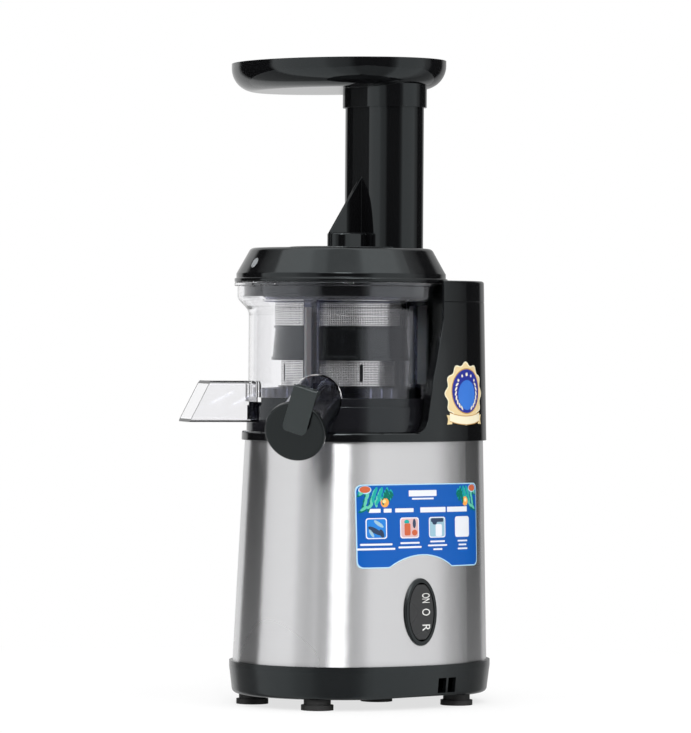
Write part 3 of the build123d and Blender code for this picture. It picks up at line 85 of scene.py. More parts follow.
camera_data = bpy.data.cameras.new("juicer camera")
camera_data.lens = camera_lens
camera_data.sensor_width = sensor_width
camera = bpy.data.objects.new("juicer camera", camera_data)
scene.collection.objects.link(camera)
to_camera = outward_from(camera_heading)
to_right = outward_from(camera_heading + 90)
camera.location = bowl_axis + to_camera * camera_distance + Vector((0, 0, camera_height))
aim = bowl_axis + to_right * aim_right + Vector((0, 0, aim_height))
camera.rotation_mode = "QUATERNION"
looking = (aim - camera.location).to_track_quat("-Z", "Y")
camera.rotation_quaternion = looking @ Quaternion((0, 0, 1), math.radians(camera_roll))
scene.camera = camera


# ---------------------------------------------------------------- node helpers
def feed(tree, value, socket):
    """Gives a socket its value: another socket, a number or the three parts of a colour."""
    if isinstance(value, tuple):
        socket.default_value = (*value, 1.0)
    elif isinstance(value, (int, float)):
        socket.default_value = value
    else:
        tree.links.new(value, socket)


def put(tree, kind, **values):
    """Adds a node and sets its plain properties."""
    node = tree.nodes.new(kind)
    for name, value in values.items():
        setattr(node, name, value)
    return node


def wire(tree, node, **values):
    """Feeds a node's inputs by name, with an underscore for each space. Returns the node."""
    for name, value in values.items():
        feed(tree, value, node.inputs[name.replace("_", " ")])
    return node


def maths(tree, operation, *values, clamp=False):
    """A Math node of one or two inputs, each a socket or a number. Returns its output."""
    node = put(tree, "ShaderNodeMath", operation=operation, use_clamp=clamp)
    for socket, value in zip(node.inputs, values):
        feed(tree, value, socket)
    return node.outputs[0]


def product(tree, first, *others):
    """The product of two or more sockets or numbers."""
    for other in others:
        first = maths(tree, "MULTIPLY", first, other)
    return first


def object_place(tree):
    """The shaded point in the object's own coordinates."""
    return put(tree, "ShaderNodeTexCoord").outputs["Object"]


def parts_of(tree, vector):
    """The X, Y and Z outputs of a vector."""
    return wire(tree, put(tree, "ShaderNodeSeparateXYZ"), Vector=vector).outputs


def vector_of(tree, **parts):
    """A vector put together from its parts."""
    return wire(tree, put(tree, "ShaderNodeCombineXYZ"), **parts).outputs["Vector"]


def ramp(tree, factor, stops):
    """A colour ramp through (place, grey) stops. Returns its colour output."""
    node = put(tree, "ShaderNodeValToRGB")
    elements = node.color_ramp.elements
    while len(elements) < len(stops):
        elements.new(0.5)
    for element, (place, grey) in zip(elements, stops):
        element.position = place
        element.color = (grey, grey, grey, 1.0)
    feed(tree, factor, node.inputs["Fac"])
    return node.outputs["Color"]


def spread(tree, value, low, high, to_low, to_high):
    """A Map Range node that takes low and high to to_low and to_high. Returns its output."""
    node = put(tree, "ShaderNodeMapRange")
    wire(tree, node, Value=value, From_Min=low, From_Max=high, To_Min=to_low, To_Max=to_high)
    return node.outputs["Result"]


def noise(tree, place, scale, detail, roughness=0.5):
    """A noise texture on a place. Returns its value output."""
    node = put(tree, "ShaderNodeTexNoise")
    wire(tree, node, Vector=place, Scale=scale, Detail=detail, Roughness=roughness)
    return node.outputs["Fac"]


def blend_colour(tree, factor, first, second):
    """Mixes two colours, each a socket or three numbers. Returns the colour output."""
    node = put(tree, "ShaderNodeMix", data_type="RGBA")
    feed(tree, factor, node.inputs["Factor"])
    feed(tree, first, node.inputs[6])
    feed(tree, second, node.inputs[7])
    return node.outputs[2]


def mix_shaders(tree, factor, first, second):
    """A Mix Shader node. Returns its output."""
    node = put(tree, "ShaderNodeMixShader")
    for socket, value in zip(node.inputs, (factor, first, second)):
        feed(tree, value, socket)
    return node.outputs["Shader"]


def show(tree, surface):
    """Makes a shader the material's surface."""
    feed(tree, surface, tree.nodes["Material Output"].inputs["Surface"])


# ---------------------------------------------------------------- effects that finishes share
def shader_group(name, inputs, outputs):
    """An empty shader node group with named number inputs and outputs."""
    group = bpy.data.node_groups.new(name, "ShaderNodeTree")
    for label, value in inputs.items():
        socket = group.interface.new_socket(label, in_out="INPUT", socket_type="NodeSocketFloat")
        socket.default_value = value
    for label in outputs:
        group.interface.new_socket(label, in_out="OUTPUT", socket_type="NodeSocketFloat")
    start = group.nodes.new("NodeGroupInput")
    end = group.nodes.new("NodeGroupOutput")
    return group, start.outputs, end.inputs


def moulded_grain():
    """Fine grain, and a sheen that changes slowly over the piece."""
    group, given, result = shader_group(
        "moulded grain", {"Scale": 900.0, "Roughness": 0.2, "Change": 0.1}, ("Roughness", "Height")
    )
    cloud_scale = 14.0
    place = object_place(group)
    cloud = noise(group, place, cloud_scale, detail=3.0)
    uneven = product(group, maths(group, "SUBTRACT", cloud, 0.5), given["Change"])
    sheen = maths(group, "ADD", given["Roughness"], uneven, clamp=True)
    feed(group, sheen, result["Roughness"])
    feed(group, noise(group, place, given["Scale"], detail=2.0, roughness=0.6), result["Height"])
    return group


def brushed_lines():
    """Fine level lines, drawn out round the piece, in tint, sheen and height."""
    group, given, result = shader_group(
        "brushed lines", {"Lines": 1400.0, "Roughness": 0.3}, ("Tint", "Roughness", "Height")
    )
    drawn_out = 9.0
    broad_scale = 7.0
    broad_change = 0.03
    place = object_place(group)
    apart = parts_of(group, place)
    lines = vector_of(
        group,
        X=product(group, apart["X"], drawn_out),
        Y=product(group, apart["Y"], drawn_out),
        Z=product(group, apart["Z"], given["Lines"]),
    )
    scratch = noise(group, lines, 1.0, detail=3.0, roughness=0.7)
    broad = noise(group, place, broad_scale, detail=1.0)
    rougher = product(group, maths(group, "SUBTRACT", broad, 0.5), broad_change)
    sheen = maths(group, "ADD", given["Roughness"], rougher, clamp=True)
    feed(group, spread(group, scratch, 0.25, 0.75, 0.86, 1.0), result["Tint"])
    feed(group, sheen, result["Roughness"])
    feed(group, scratch, result["Height"])
    return group


def settled_dust():
    """A mask of specks on what faces up."""
    group, given, result = shader_group("settled dust", {"Amount": 0.1}, ("Mask",))
    speck_scale = 160.0
    normal = put(group, "ShaderNodeNewGeometry").outputs["Normal"]
    upward = spread(group, parts_of(group, normal)["Z"], 0.2, 1.0, 0.0, 1.0)
    cloud = noise(group, object_place(group), speck_scale, detail=4.0, roughness=0.7)
    specks = spread(group, cloud, 0.45, 0.75, 0.0, 1.0)
    feed(group, product(group, upward, specks, given["Amount"]), result["Mask"])
    return group


grain = moulded_grain()
brushing = brushed_lines()
dust = settled_dust()


# ---------------------------------------------------------------- materials
bevel_samples = 6
darkest_line = 0.8  # share of a metal's colour that its darkest lines keep
dust_cover = 0.4  # share of the colour that a speck of dust hides
dust_grey = 0.5


def finish_named(name):
    """A new material with its node tree and Principled shader."""
    material = bpy.data.materials.new(name)
    material.use_nodes = True
    return material, material.node_tree, material.node_tree.nodes["Principled BSDF"]


def group_in(tree, group, **values):
    """Places a shared effect in a material, sets its inputs and returns its outputs."""
    return wire(tree, put(tree, "ShaderNodeGroup", node_tree=group), **values).outputs


def raised(tree, height, depth, rounded=0.0):
    """A normal from a height, with edges rounded by a radius. Both lengths are in metres."""
    bump = wire(tree, put(tree, "ShaderNodeBump"), Strength=1.0, Distance=depth, Height=height)
    if rounded:
        soft = wire(tree, put(tree, "ShaderNodeBevel", samples=bevel_samples), Radius=rounded)
        feed(tree, soft.outputs["Normal"], bump.inputs["Normal"])
    return bump.outputs["Normal"]


def lined(tree, surface, colour):
    """A metal's colour, darker along its brushed lines."""
    darker = tuple(part * darkest_line for part in colour)
    return blend_colour(tree, surface["Tint"], darker, colour)


def moulded(
    name, colour, roughness, change=0.08, scale=900.0, depth=0.00001, dusty=0.05, rounded=0.0,
    **values,
):
    """Moulded plastic, rubber or silicone: fine grain, uneven sheen and a trace of dust."""
    material, tree, shader = finish_named(name)
    surface = group_in(tree, grain, Scale=scale, Roughness=roughness, Change=change)
    specks = group_in(tree, dust, Amount=dusty)["Mask"]
    dusted = tuple(part * (1 - dust_cover) + dust_grey * dust_cover for part in colour)
    wire(
        tree, shader,
        Base_Color=blend_colour(tree, specks, colour, dusted),
        Roughness=surface["Roughness"],
        Normal=raised(tree, surface["Height"], depth, rounded),
        **values,
    )
    return material


def black_plastic(name, colour, roughness, change, rounded=0.0, depth=0.000002, scale=900.0):
    """Moulded black plastic with a cool sheen."""
    return moulded(
        name, colour, roughness, change=change, scale=scale, depth=depth, rounded=rounded,
        Specular_Tint=(0.88, 0.98, 1.0),
    )


def ink(name, colour, roughness=0.3, **values):
    """Printing ink or film."""
    return moulded(
        name, colour, roughness, change=0.05, scale=700.0, depth=0.000002, dusty=0.02,
        Specular_IOR_Level=0.2, **values,
    )


def metal(
    name, colour, roughness, lines=1400.0, depth=0.000004, metallic=1.0, drawn=0.0, drawn_turn=0.0
):
    """Brushed, turned or rolled metal. What is drawn stretches its highlights."""
    material, tree, shader = finish_named(name)
    surface = group_in(tree, brushing, Lines=lines, Roughness=roughness)
    wire(
        tree, shader,
        Base_Color=lined(tree, surface, colour),
        Roughness=surface["Roughness"],
        Metallic=metallic,
        Anisotropic=drawn,
        Anisotropic_Rotation=drawn_turn,
        Normal=raised(tree, surface["Height"], depth),
    )
    return material


def see_through(name, colour, roughness, sheen, index=1.46, lets_light=0.9):
    """Clear or tinted plastic that lets light reach what stands behind it."""
    material, tree, shader = finish_named(name)
    surface = group_in(tree, grain, Scale=900.0, Roughness=roughness, Change=0.03)
    specks = group_in(tree, dust, Amount=0.04)["Mask"]
    wire(
        tree, shader,
        Base_Color=blend_colour(tree, specks, colour, (0.8, 0.8, 0.8)),
        Roughness=surface["Roughness"],
        Transmission_Weight=1.0,
        IOR=index,
        Specular_Tint=sheen,
    )
    tint = tuple(part ** 0.5 for part in colour)
    unbent = wire(tree, put(tree, "ShaderNodeBsdfTransparent"), Color=tint)
    shadow = put(tree, "ShaderNodeLightPath").outputs["Is Shadow Ray"]
    share = product(tree, shadow, lets_light)
    show(tree, mix_shaders(tree, share, shader.outputs["BSDF"], unbent.outputs["BSDF"]))
    return material


def punched(name, colour, roughness, radius, pitch, hole):
    """Rolled sheet with rows of fine holes round the bowl's axis. Its lengths are in metres. The
    holes are painted near-black, for the dark auger behind them and as painted shade.
    """
    # painted shade: the holes are not cut but painted near-black, standing for the dark auger and
    # the shade seen through them
    hole_shade_and_auger = (0.02, 0.02, 0.02)
    hole_depth = 0.0002
    soft_edge = 0.12
    material, tree, shader = finish_named(name)
    surface = group_in(tree, brushing, Lines=1800.0, Roughness=roughness)
    centred = wire(tree, put(tree, "ShaderNodeMapping"), Vector=object_place(tree))
    centred.inputs["Location"].default_value = -bowl_axis
    apart = parts_of(tree, centred.outputs["Vector"])
    turn = maths(tree, "ARCTAN2", apart["Y"], apart["X"])
    unrolled = vector_of(tree, X=product(tree, turn, radius), Y=apart["Z"])
    cells = put(tree, "ShaderNodeTexVoronoi", voronoi_dimensions="2D")
    wire(tree, cells, Vector=unrolled, Scale=1 / pitch, Randomness=0.0)
    edge = hole / pitch
    solid = spread(tree, cells.outputs["Distance"], edge, edge + soft_edge, 0.0, 1.0)
    wire(
        tree, shader,
        # the holes get the painted near-black shade, the sheet between them its lined steel colour
        Base_Color=blend_colour(tree, solid, hole_shade_and_auger, lined(tree, surface, colour)),
        Roughness=surface["Roughness"],
        Metallic=solid,
        Normal=raised(tree, solid, hole_depth),
    )
    return material


# by the name of the material that a node brings along
finishes = {
    "gloss_black": black_plastic(
        "gloss black plastic", (0.004, 0.004, 0.0045), 0.06, change=0.03, rounded=0.0005,
        scale=420.0,
    ),
    "satin_black": black_plastic(
        "satin black plastic", (0.004, 0.0045, 0.005), 0.20, change=0.06, depth=0.000004
    ),
    "cap_grey": black_plastic(
        "dark grey plastic", (0.026, 0.030, 0.030), 0.15, change=0.05, rounded=0.0004
    ),
    "smoke_plastic": see_through(
        "smoky plastic", (0.14, 0.15, 0.23), 0.05, sheen=(0.80, 0.84, 1.0), index=1.5,
        lets_light=0.6,
    ),
    "clear_plastic": see_through(
        "clear plastic", (0.97, 0.97, 0.985), 0.02, sheen=(0.90, 0.92, 1.0)
    ),
    "brushed_steel": metal(
        "brushed stainless sheet", (0.69, 0.69, 0.70), 0.27, depth=0.000002, metallic=0.98,
        drawn=0.97, drawn_turn=0.25,
    ),
    "screen_steel": punched(
        "punched stainless sheet", (0.86, 0.86, 0.86), 0.26, radius=0.042, pitch=0.00115,
        hole=0.00030,
    ),
    "rubber_black": moulded(
        "black rubber", (0.012, 0.012, 0.012), 0.62, change=0.15, scale=700.0, depth=0.00003
    ),
    "silicone": moulded(
        "grey silicone", (0.16, 0.17, 0.18), 0.45, change=0.1, Subsurface_Weight=0.1
    ),
    "switch_grey": moulded("switch grey plastic", (0.018, 0.019, 0.020), 0.28, scale=1300.0),
    "auger_plastic": moulded(
        "auger plastic", (0.045, 0.046, 0.050), 0.30, change=0.12, scale=800.0
    ),
    "gear_plastic": moulded("gear plastic", (0.55, 0.53, 0.47), 0.40, change=0.1),
    "motor_steel": metal("zinc plated steel", (0.50, 0.51, 0.52), 0.38, lines=300.0),
    "ground_steel": metal("ground steel", (0.58, 0.58, 0.58), 0.22, lines=2500.0),
    "copper": metal("lacquered copper wire", (0.62, 0.26, 0.11), 0.32, lines=1100.0),
    "cast_case": moulded(
        "cast gearbox case", (0.22, 0.22, 0.225), 0.48, change=0.15, scale=500.0,
        depth=0.00004, Metallic=0.7,
    ),
    "board": moulded("green board", (0.015, 0.10, 0.045), 0.35, change=0.1),
    "components": moulded("board components", (0.03, 0.03, 0.034), 0.4, change=0.1),
}
# by the name of the node
own_finishes = {
    "juice_cap": black_plastic(
        "cap plastic", (0.002, 0.0025, 0.0025), 0.16, change=0.05, rounded=0.0005
    ),
    "bowl_base": black_plastic(
        "bowl base plastic", (0.009, 0.009, 0.011), 0.10, change=0.04, rounded=0.0004
    ),
    "strainer_frame": black_plastic(
        "strainer plastic", (0.002, 0.0022, 0.0026), 0.09, change=0.04, rounded=0.0004
    ),
}
for label, node in nodes.items():
    for holder in node.material_slots:
        common = finishes[holder.material.name.split(".")[0]]
        holder.material = own_finishes.get(label, common)


# ---------------------------------------------------------------- prints that lie on the body
layer_step = 0.04  # millimetres between two inks that lie on each other
film_thickness = 0.00004
film_lift = 0.00008  # gap between the body and the lowest ink
ray_start = 0.04


class Print:
    """A flat drawing in millimetres, in layers of named inks, that is laid on a node as a film."""

    def __init__(self, inks):
        self.sheet = bmesh.new()
        self.inks = inks
        self.numbers = {name: number for number, name in enumerate(inks)}

    def arrange(self, verts, centre, size, turn, layer):
        """Sizes the points of a shape about the origin, turns them and moves them."""
        spin = Matrix.Rotation(math.radians(turn), 3, "Z")
        bmesh.ops.scale(self.sheet, vec=(*size, 1), verts=verts)
        bmesh.ops.rotate(self.sheet, cent=(0, 0, 0), matrix=spin, verts=verts)
        bmesh.ops.translate(self.sheet, vec=(*centre, layer * layer_step), verts=verts)

    def round_off(self, corners, radius, segments):
        """Rounds some corners of a face."""
        bmesh.ops.bevel(
            self.sheet, geom=corners, offset=radius, offset_type="OFFSET", segments=segments,
            profile=0.5, affect="VERTICES", material=-1,
        )

    def plate(self, centre, size, corner, colour, layer):
        """A rectangle with rounded corners."""
        made = bmesh.ops.create_grid(self.sheet, x_segments=1, y_segments=1, size=0.5)["verts"]
        self.arrange(made, centre, size, 0.0, layer)
        made[0].link_faces[0].material_index = self.numbers[colour]
        self.round_off(made, corner, 4)

    def disc(self, centre, size, colour, layer, turn=0.0, sides=24):
        """An ellipse. Returns its points."""
        made = bmesh.ops.create_circle(
            self.sheet, cap_ends=True, segments=sides, radius=0.5
        )["verts"]
        self.arrange(made, centre, size, turn, layer)
        made[0].link_faces[0].material_index = self.numbers[colour]
        return made

    def outline(self, corners, colour, layer):
        """A face through a row of corners. Returns its points."""
        level = layer * layer_step
        face = self.sheet.faces.new([self.sheet.verts.new((x, y, level)) for x, y in corners])
        face.material_index = self.numbers[colour]
        return face.verts

    def lay_on(self, name, carrier, place, body, step=2.0):
        """Cuts the drawing into strips, lays it on a node along its axis and makes it a film."""
        sheet = self.sheet
        half = max(abs(vert.co.x) for vert in sheet.verts)
        for count in range(math.ceil(2 * half / step)):
            everything = sheet.verts[:] + sheet.edges[:] + sheet.faces[:]
            cut = (count * step - half, 0, 0)
            bmesh.ops.bisect_plane(sheet, geom=everything, plane_co=cut, plane_no=(1, 0, 0))
        under = BVHTree.FromObject(nodes[carrier], bpy.context.evaluated_depsgraph_get())
        inward = -place.col[2].to_3d()
        for vert in sheet.verts:
            start = place @ Vector((vert.co.x * mm, vert.co.y * mm, ray_start))
            touched = under.ray_cast(start, inward)[0]
            vert.co = touched - inward * (film_lift + vert.co.z * mm)
        sheet.normal_update()
        if sum((face.normal for face in sheet.faces), Vector()).dot(inward) > 0:
            bmesh.ops.reverse_faces(sheet, faces=sheet.faces[:])
        mesh = bpy.data.meshes.new(name)
        sheet.to_mesh(mesh)
        sheet.free()
        for material in self.inks.values():
            mesh.materials.append(material)
        piece = bpy.data.objects.new(name, mesh)
        scene.collection.objects.link(piece)
        film = piece.modifiers.new("film", "SOLIDIFY")
        film.thickness = film_thickness
        film.offset = 1.0
        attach(piece, body)


def label_ground(drawing):
    """The label's blue ground on its pale edge, with an arch cut out of its lower side."""
    edge = 0.7
    half_wide = 50.2
    half_tall = 27
    corner = 4.0
    arch_radius = 46.2
    arch_x, arch_y = -3.0, -65.2
    arch_reach = 34.2
    arch_steps = 14
    turns = [
        math.radians(arch_reach * (2 * step / arch_steps - 1)) for step in range(arch_steps + 1)
    ]
    arch = [
        (arch_x + arch_radius * math.sin(turn), arch_y + arch_radius * math.cos(turn))
        for turn in turns
    ]
    for grow, colour, layer in ((edge, "edge", 0), (0.0, "blue", 1)):
        x = half_wide + grow
        y = half_tall + grow
        rim = drawing.outline(
            [(-x, y), (-x, -y), *((across, up - grow) for across, up in arch), (x, -y), (x, y)],
            colour, layer,
        )
        drawing.round_off([rim[0], rim[1], rim[-2], rim[-1]], corner, 5)


def label_bars(drawing):
    """Plain bars where words would stand: middle, width and height of each."""
    for x, y, wide, tall in (
        (-2.0, 21.4, 23.0, 4.0), (-2.0, 17.8, 18.0, 1.1),
        (-38.5, 10.3, 8.0, 2.6), (-29.5, 10.3, 5.6, 2.6), (-17.0, 10.3, 14.0, 2.6),
        (6.5, 10.3, 22.0, 3.4), (29.0, 10.3, 20.0, 3.4),
        (-37.5, -12.0, 22.0, 1.3), (-37.5, -15.0, 26.0, 1.3),
        (-13.0, -11.4, 15.0, 1.2), (-13.0, -14.2, 18.0, 1.2),
        (10.0, -10.8, 13.0, 1.1), (10.0, -13.4, 17.0, 1.1), (10.0, -16.0, 8.0, 1.1),
        (34.0, -10.8, 10.0, 1.1), (34.0, -13.4, 8.0, 1.1), (34.0, -16.0, 10.0, 1.1),
    ):
        drawing.plate((x, y), (wide, tall), 0.4, "white", 2)


def label_squares(drawing):
    """Four framed squares with simple shapes in them."""
    for x, inside in ((-37.5, "deep blue"), (-13.2, "rose"), (9.8, "pale blue"), (33.8, "white")):
        drawing.plate((x, -1.4), (14.6, 13.8), 1.8, "white", 2)
        drawing.plate((x, -1.4), (13.2, 12.4), 1.4, inside, 3)
    for x, y, wide, long, turn, colour in (
        (-38.5, -3.0, 3.4, 11.0, 60, "dark"), (-36.0, 1.6, 2.4, 8.0, 55, "pale blue"),
        (-41.0, -4.6, 2.0, 6.0, 30, "pale blue"), (-34.0, -4.8, 3.0, 6.0, 20, "dark"),
        (-15.5, 2.6, 4.0, 3.0, 0, "leaf"), (-9.6, 1.4, 2.6, 6.4, 0, "dark"),
        (-9.4, -4.6, 4.4, 4.0, 0, "red"),
    ):
        drawing.disc((x, y), (wide, long), colour, 4, turn=turn, sides=12)
    for x, y, wide, tall, corner, colour, layer in (
        (-15.0, -2.4, 4.6, 8.0, 1.0, "red", 5), (9.8, 3.4, 11.0, 2.6, 0.8, "dark", 4),
        (7.4, 2.4, 4.0, 4.0, 1.6, "dark", 5), (11.0, -3.4, 5.6, 8.0, 1.0, "white", 4),
    ):
        drawing.plate((x, y), (wide, tall), corner, colour, layer)


def label_fruit(drawing):
    """Leaves and fruit in the label's top corners."""
    leaves = 44
    corner_x, corner_y = 47.6, 23.6
    for side, reach, orange_x in ((-1, 1.0, 31.5), (1, 0.86, 37.0)):
        for count in range(leaves):
            inward = (count * 7 % 22) / 22
            row = count * 5 % 12
            lean = side * (30 + 50 * (count * 11 % 7) / 7 - 90 * inward)
            at = (
                side * (corner_x - 22 * reach * inward),
                corner_y - row * (1.25 - 0.85 * inward),
            )
            colour = ("leaf", "dark leaf", "pale leaf")[count % 3]
            drawing.disc(
                at, (2.0, 6.0 - 1.6 * inward), colour, 2 + 0.05 * count, turn=lean, sides=8
            )
        drawing.disc((side * 44.8, 24.2), (8.4, 5.4), "edge", 4)
        drawing.disc((side * 44.8, 24.4), (7.2, 4.4), "red", 5)
        drawing.disc((side * orange_x, 15.6), (5.8, 6.2), "orange", 4)
        drawing.disc((side * (orange_x + 0.4), 16.4), (2.6, 2.6), "pale orange", 5)


def blue_label():
    """The blue sticker on the side of the steel."""
    colours = {
        "blue": (0.004, 0.092, 0.40),
        "edge": (0.42, 0.66, 0.80),
        "white": (0.74, 0.76, 0.80),
        "deep blue": (0.02, 0.20, 0.62),
        "rose": (0.62, 0.42, 0.42),
        "pale blue": (0.30, 0.48, 0.58),
        "dark": (0.03, 0.05, 0.10),
        "red": (0.55, 0.12, 0.05),
        "orange": (0.86, 0.36, 0.07),
        "leaf": (0.01, 0.36, 0.32),
        "dark leaf": (0.0, 0.15, 0.11),
        "pale leaf": (0.12, 0.52, 0.36),
        "pale orange": (0.95, 0.66, 0.30),
    }
    drawing = Print({name: ink("label " + name, colour) for name, colour in colours.items()})
    label_ground(drawing)
    label_bars(drawing)
    label_squares(drawing)
    label_fruit(drawing)
    place = facing(heading=86.0, lean=2.0, middle_mm=(70.0, 15.6, 122.0))
    drawing.lay_on("side_label", "steel_sleeve", place, "housing")


def rosette():
    """The round badge on the column: scalloped edge, blue middle, laurels, stars, bare ribbon."""
    drawing = Print({
        "gold": ink("badge gold", (0.78, 0.62, 0.34), 0.35),
        "blue": ink("badge blue", (0.020, 0.030, 0.28)),
        "light blue": ink("badge light blue", (0.045, 0.18, 0.62)),
        "cream": ink("badge cream", (0.86, 0.79, 0.60)),
        "deep gold": ink("badge deep gold", (0.50, 0.27, 0.06)),
    })
    scallops = 12
    scallop_depth = 1.3
    rim_radius = 19.3
    for grow, colour, layer in ((0.9, "cream", 0), (0.0, "gold", 1)):
        for vert in drawing.disc((0, 0), (2, 2), colour, layer, sides=72):
            turn = math.atan2(vert.co.y, vert.co.x)
            reach = rim_radius + grow + scallop_depth * math.cos(scallops * turn)
            vert.co.x = reach * math.cos(turn)
            vert.co.y = reach * math.sin(turn)
    drawing.disc((0.8, 1.6), (31.6, 30.6), "deep gold", 2, sides=40)
    drawing.disc((0.8, 1.6), (30.2, 29.2), "blue", 3, sides=40)
    drawing.disc((1.2, -1.0), (19.0, 20.0), "light blue", 4, sides=32)

    star_radius = 12
    star_turn = 24
    arm_share = 0.42
    for count in range(5):
        turn = math.radians(90 + (count - 2) * star_turn)
        size = 2.8 if count == 2 else 2.2
        at = (0.8 + star_radius * math.cos(turn), 0.8 + star_radius * math.sin(turn))
        for point in range(5):
            drawing.disc(
                at, (size * arm_share, size), "cream", 5 + 0.1 * point, turn=point * 36, sides=6
            )

    laurel_radius = 11.6
    leaf_turn = 15
    for side in (-1, 1):
        for leaf in range(7):
            turn = math.radians(-90 + side * (28 + leaf_turn * leaf))
            at = (0.8 + laurel_radius * math.cos(turn), 0.6 + laurel_radius * math.sin(turn))
            lean = side * (leaf_turn * leaf - 35)
            drawing.disc(at, (1.5, 3.6), "cream", 5, turn=lean, sides=8)

    half_wide = 17
    half_tall = 2.6
    ribbon_y = -15.6
    sag = 2.4
    shares = [step / 4 - 1 for step in range(9)]
    ribbon = [(half_wide * share, ribbon_y - sag * (1 - share ** 2)) for share in shares]
    for grow, colour, layer in ((0.5, "deep gold", 6), (0.0, "cream", 7)):
        tall = half_tall + grow
        low = [(x, y - tall) for x, y in ribbon]
        high = [(x, y + tall) for x, y in reversed(ribbon)]
        drawing.outline(low + high, colour, layer)
    tail = [
        (16.0, -14.6), (19.8, -14.2), (18.6, -17.4), (19.6, -20.6), (14.8, -20.4), (14.8, -18.0)
    ]
    drawing.outline([(-x, y) for x, y in tail], "gold", 5)
    drawing.outline(tail[::-1], "gold", 5)
    place = facing(heading=102.5, lean=1.3, middle_mm=(67.0, 53.0, 209.4))
    drawing.lay_on("column_badge", "upper_housing", place, "housing")


def lid_mark():
    """A small plain oval of silver film on the slope of the lid."""
    drawing = Print({
        "silver": ink("silver film", (0.62, 0.64, 0.66), 0.25, Metallic=0.6),
        "grey": ink("grey film", (0.25, 0.27, 0.28)),
    })
    drawing.disc((0, 0), (6.4, 7.4), "silver", 0)
    drawing.disc((0, 0), (5.0, 6.0), "grey", 1)
    drawing.disc((0, 0), (3.0, 4.0), "silver", 2)
    place = facing(heading=-8.4, lean=29.3, middle_mm=(-11.6, -65.3, 295.5))
    drawing.lay_on("lid_mark", "lid", place, "lid", step=1.0)


def switch_words():
    """The white lettering on the rocker, which reads downwards."""
    place = facing(heading=84.6, lean=2.05, middle_mm=(73.4, 12.4, 64.6))
    white = ink("switch lettering", (0.72, 0.72, 0.70))
    across = 0.9
    for word, up, wide, tall in (
        ("ON", 9.4, 6.4, 6.2), ("O", 0.0, 4.4, 6.4), ("R", -10.3, 4.2, 6.2)
    ):
        curve = bpy.data.curves.new("letters", "FONT")
        curve.body = word
        letters = bpy.data.objects.new("letters", curve)
        flat = bpy.data.meshes.new_from_object(letters)
        drawing = Print({"white": white})
        drawing.sheet.from_mesh(flat)
        bpy.data.objects.remove(letters)
        bpy.data.meshes.remove(flat)
        verts = drawing.sheet.verts
        low = Vector([min(vert.co[axis] for vert in verts) for axis in range(3)])
        high = Vector([max(vert.co[axis] for vert in verts) for axis in range(3)])
        stretch = (wide / (high.x - low.x), tall / (high.y - low.y))
        bmesh.ops.translate(drawing.sheet, vec=-(low + high) / 2, verts=verts)
        drawing.arrange(verts, (across, up), stretch, -90, 0)
        name = "switch_word_" + word
        drawing.lay_on(name, "switch_rocker", place, "rocker", step=20.0)


blue_label()
rosette()
lid_mark()
switch_words()


# ---------------------------------------------------------------- studio
# (heading from the camera in degrees, brightness) round the machine
side_lights = (
    (-180, 0.70), (-143, 0.80), (-136, 0.02), (-99, 0.02), (-95, 0.98), (-52, 0.95),
    (-44, 0.60), (-28, 0.45), (-20, 0.04), (22, 0.04), (30, 0.25), (38, 0.90), (84, 0.90),
    (92, 0.5), (101, 0.30), (107, 0.03), (140, 0.03), (148, 0.42), (180, 0.42),
)
front_turn = 0.507  # middle of the lamps ahead, as a share of a turn
front_top = (0.60, 0.75)


def front_lamp(tree, aside, height, strength, half_width, bottom):
    """A lamp on the camera's side, with soft edges at its half width, its bottom and its top."""
    return product(
        tree,
        spread(tree, aside, *half_width, strength, 0.0),
        spread(tree, height, *bottom, 0.0, 1.0),
        spread(tree, height, *front_top, 1.0, 0.0),
    )


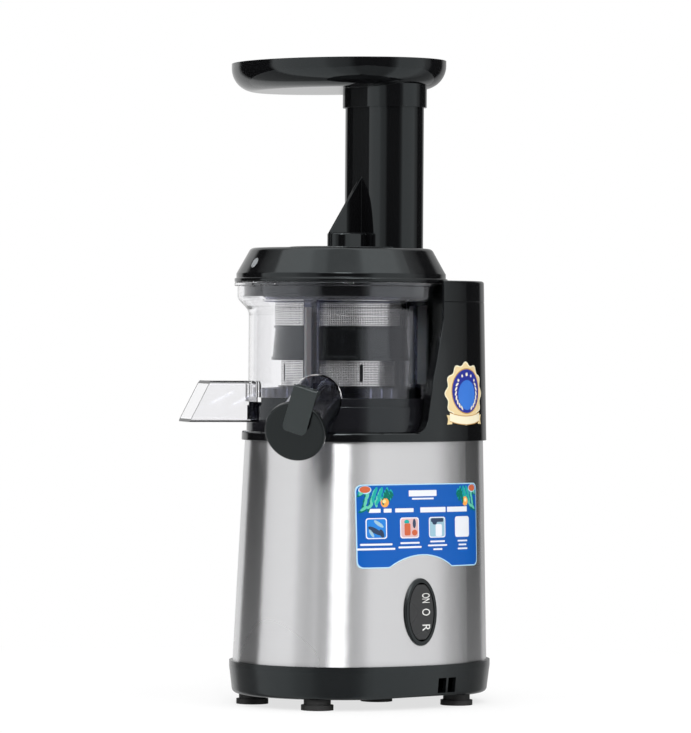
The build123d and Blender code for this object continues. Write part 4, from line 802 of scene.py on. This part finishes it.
def studio_light():
    """World light by direction: lamps at both sides, ahead and overhead, and white behind."""
    world = bpy.data.worlds.new("studio")
    world.use_nodes = True
    scene.world = world
    tree = world.node_tree
    direction = put(tree, "ShaderNodeTexCoord").outputs["Generated"]
    turned = wire(tree, put(tree, "ShaderNodeMapping"), Vector=direction)
    turned.inputs["Rotation"].default_value = (0, 0, math.radians(90 - camera_heading))
    around = put(tree, "ShaderNodeTexGradient", gradient_type="RADIAL")
    heading = wire(tree, around, Vector=turned.outputs["Vector"]).outputs["Fac"]
    apart = parts_of(tree, turned.outputs["Vector"])
    height = apart["Z"]

    sides = ramp(tree, heading, [(turn / 360 + 0.5, grey) for turn, grey in side_lights])
    overhead = spread(tree, height, 0.50, 0.80, 0.0, 1.0)
    aside = maths(tree, "ABSOLUTE", maths(tree, "SUBTRACT", heading, front_turn))
    fill = front_lamp(tree, aside, height, 2.0, half_width=(0.075, 0.095), bottom=(0.26, 0.34))
    strip = front_lamp(tree, aside, height, 8.0, half_width=(0.022, 0.034), bottom=(0.28, 0.36))
    level = sides
    for lamp in (overhead, fill, strip):
        level = maths(tree, "ADD", level, lamp)

    # what shows behind the machine is white, also through its clear parts
    path = put(tree, "ShaderNodeLightPath").outputs
    beyond = spread(tree, apart["X"], -0.05, 0.05, 1.0, 0.0)
    through = product(tree, path["Is Transmission Ray"], beyond)
    white = maths(tree, "MAXIMUM", path["Is Camera Ray"], through)
    either = put(tree, "ShaderNodeMix")
    feed(tree, white, either.inputs["Factor"])
    feed(tree, level, either.inputs[2])
    feed(tree, 1.0, either.inputs[3])
    background = tree.nodes["Background"]
    wire(tree, background, Color=(1.0, 1.0, 1.0), Strength=either.outputs[0])


def pale_floor():
    """A floor that shows white to the camera and keeps a soft shadow near the feet."""
    floor_reach = 1.0
    glossy_cut = 0.7
    shape = bmesh.new()
    bmesh.ops.create_grid(shape, x_segments=1, y_segments=1, size=floor_reach)
    mesh = bpy.data.meshes.new("floor")
    shape.to_mesh(mesh)
    shape.free()
    floor = bpy.data.objects.new("floor", mesh)
    scene.collection.objects.link(floor)
    material, tree, shader = finish_named("white floor")
    mesh.materials.append(material)
    wire(tree, shader, Base_Color=(0.88, 0.88, 0.88), Roughness=0.9, Specular_IOR_Level=0.1)
    path = put(tree, "ShaderNodeLightPath").outputs

    # seen in the machine's gloss, the floor is mostly open
    open_air = put(tree, "ShaderNodeBsdfTransparent").outputs["BSDF"]
    missed = product(tree, path["Is Glossy Ray"], glossy_cut)
    matt = mix_shaders(tree, missed, shader.outputs["BSDF"], open_air)

    # seen by the camera, it glows white away from the feet
    length = put(tree, "ShaderNodeVectorMath", operation="LENGTH")
    feed(tree, object_place(tree), length.inputs[0])
    far = spread(tree, length.outputs["Value"], 0.12, 0.55, 0.72, 1.0)
    seen = maths(tree, "MAXIMUM", path["Is Camera Ray"], path["Is Transmission Ray"])
    glow = put(tree, "ShaderNodeEmission").outputs["Emission"]
    show(tree, mix_shaders(tree, product(tree, far, seen), matt, glow))


studio_light()
pale_floor()
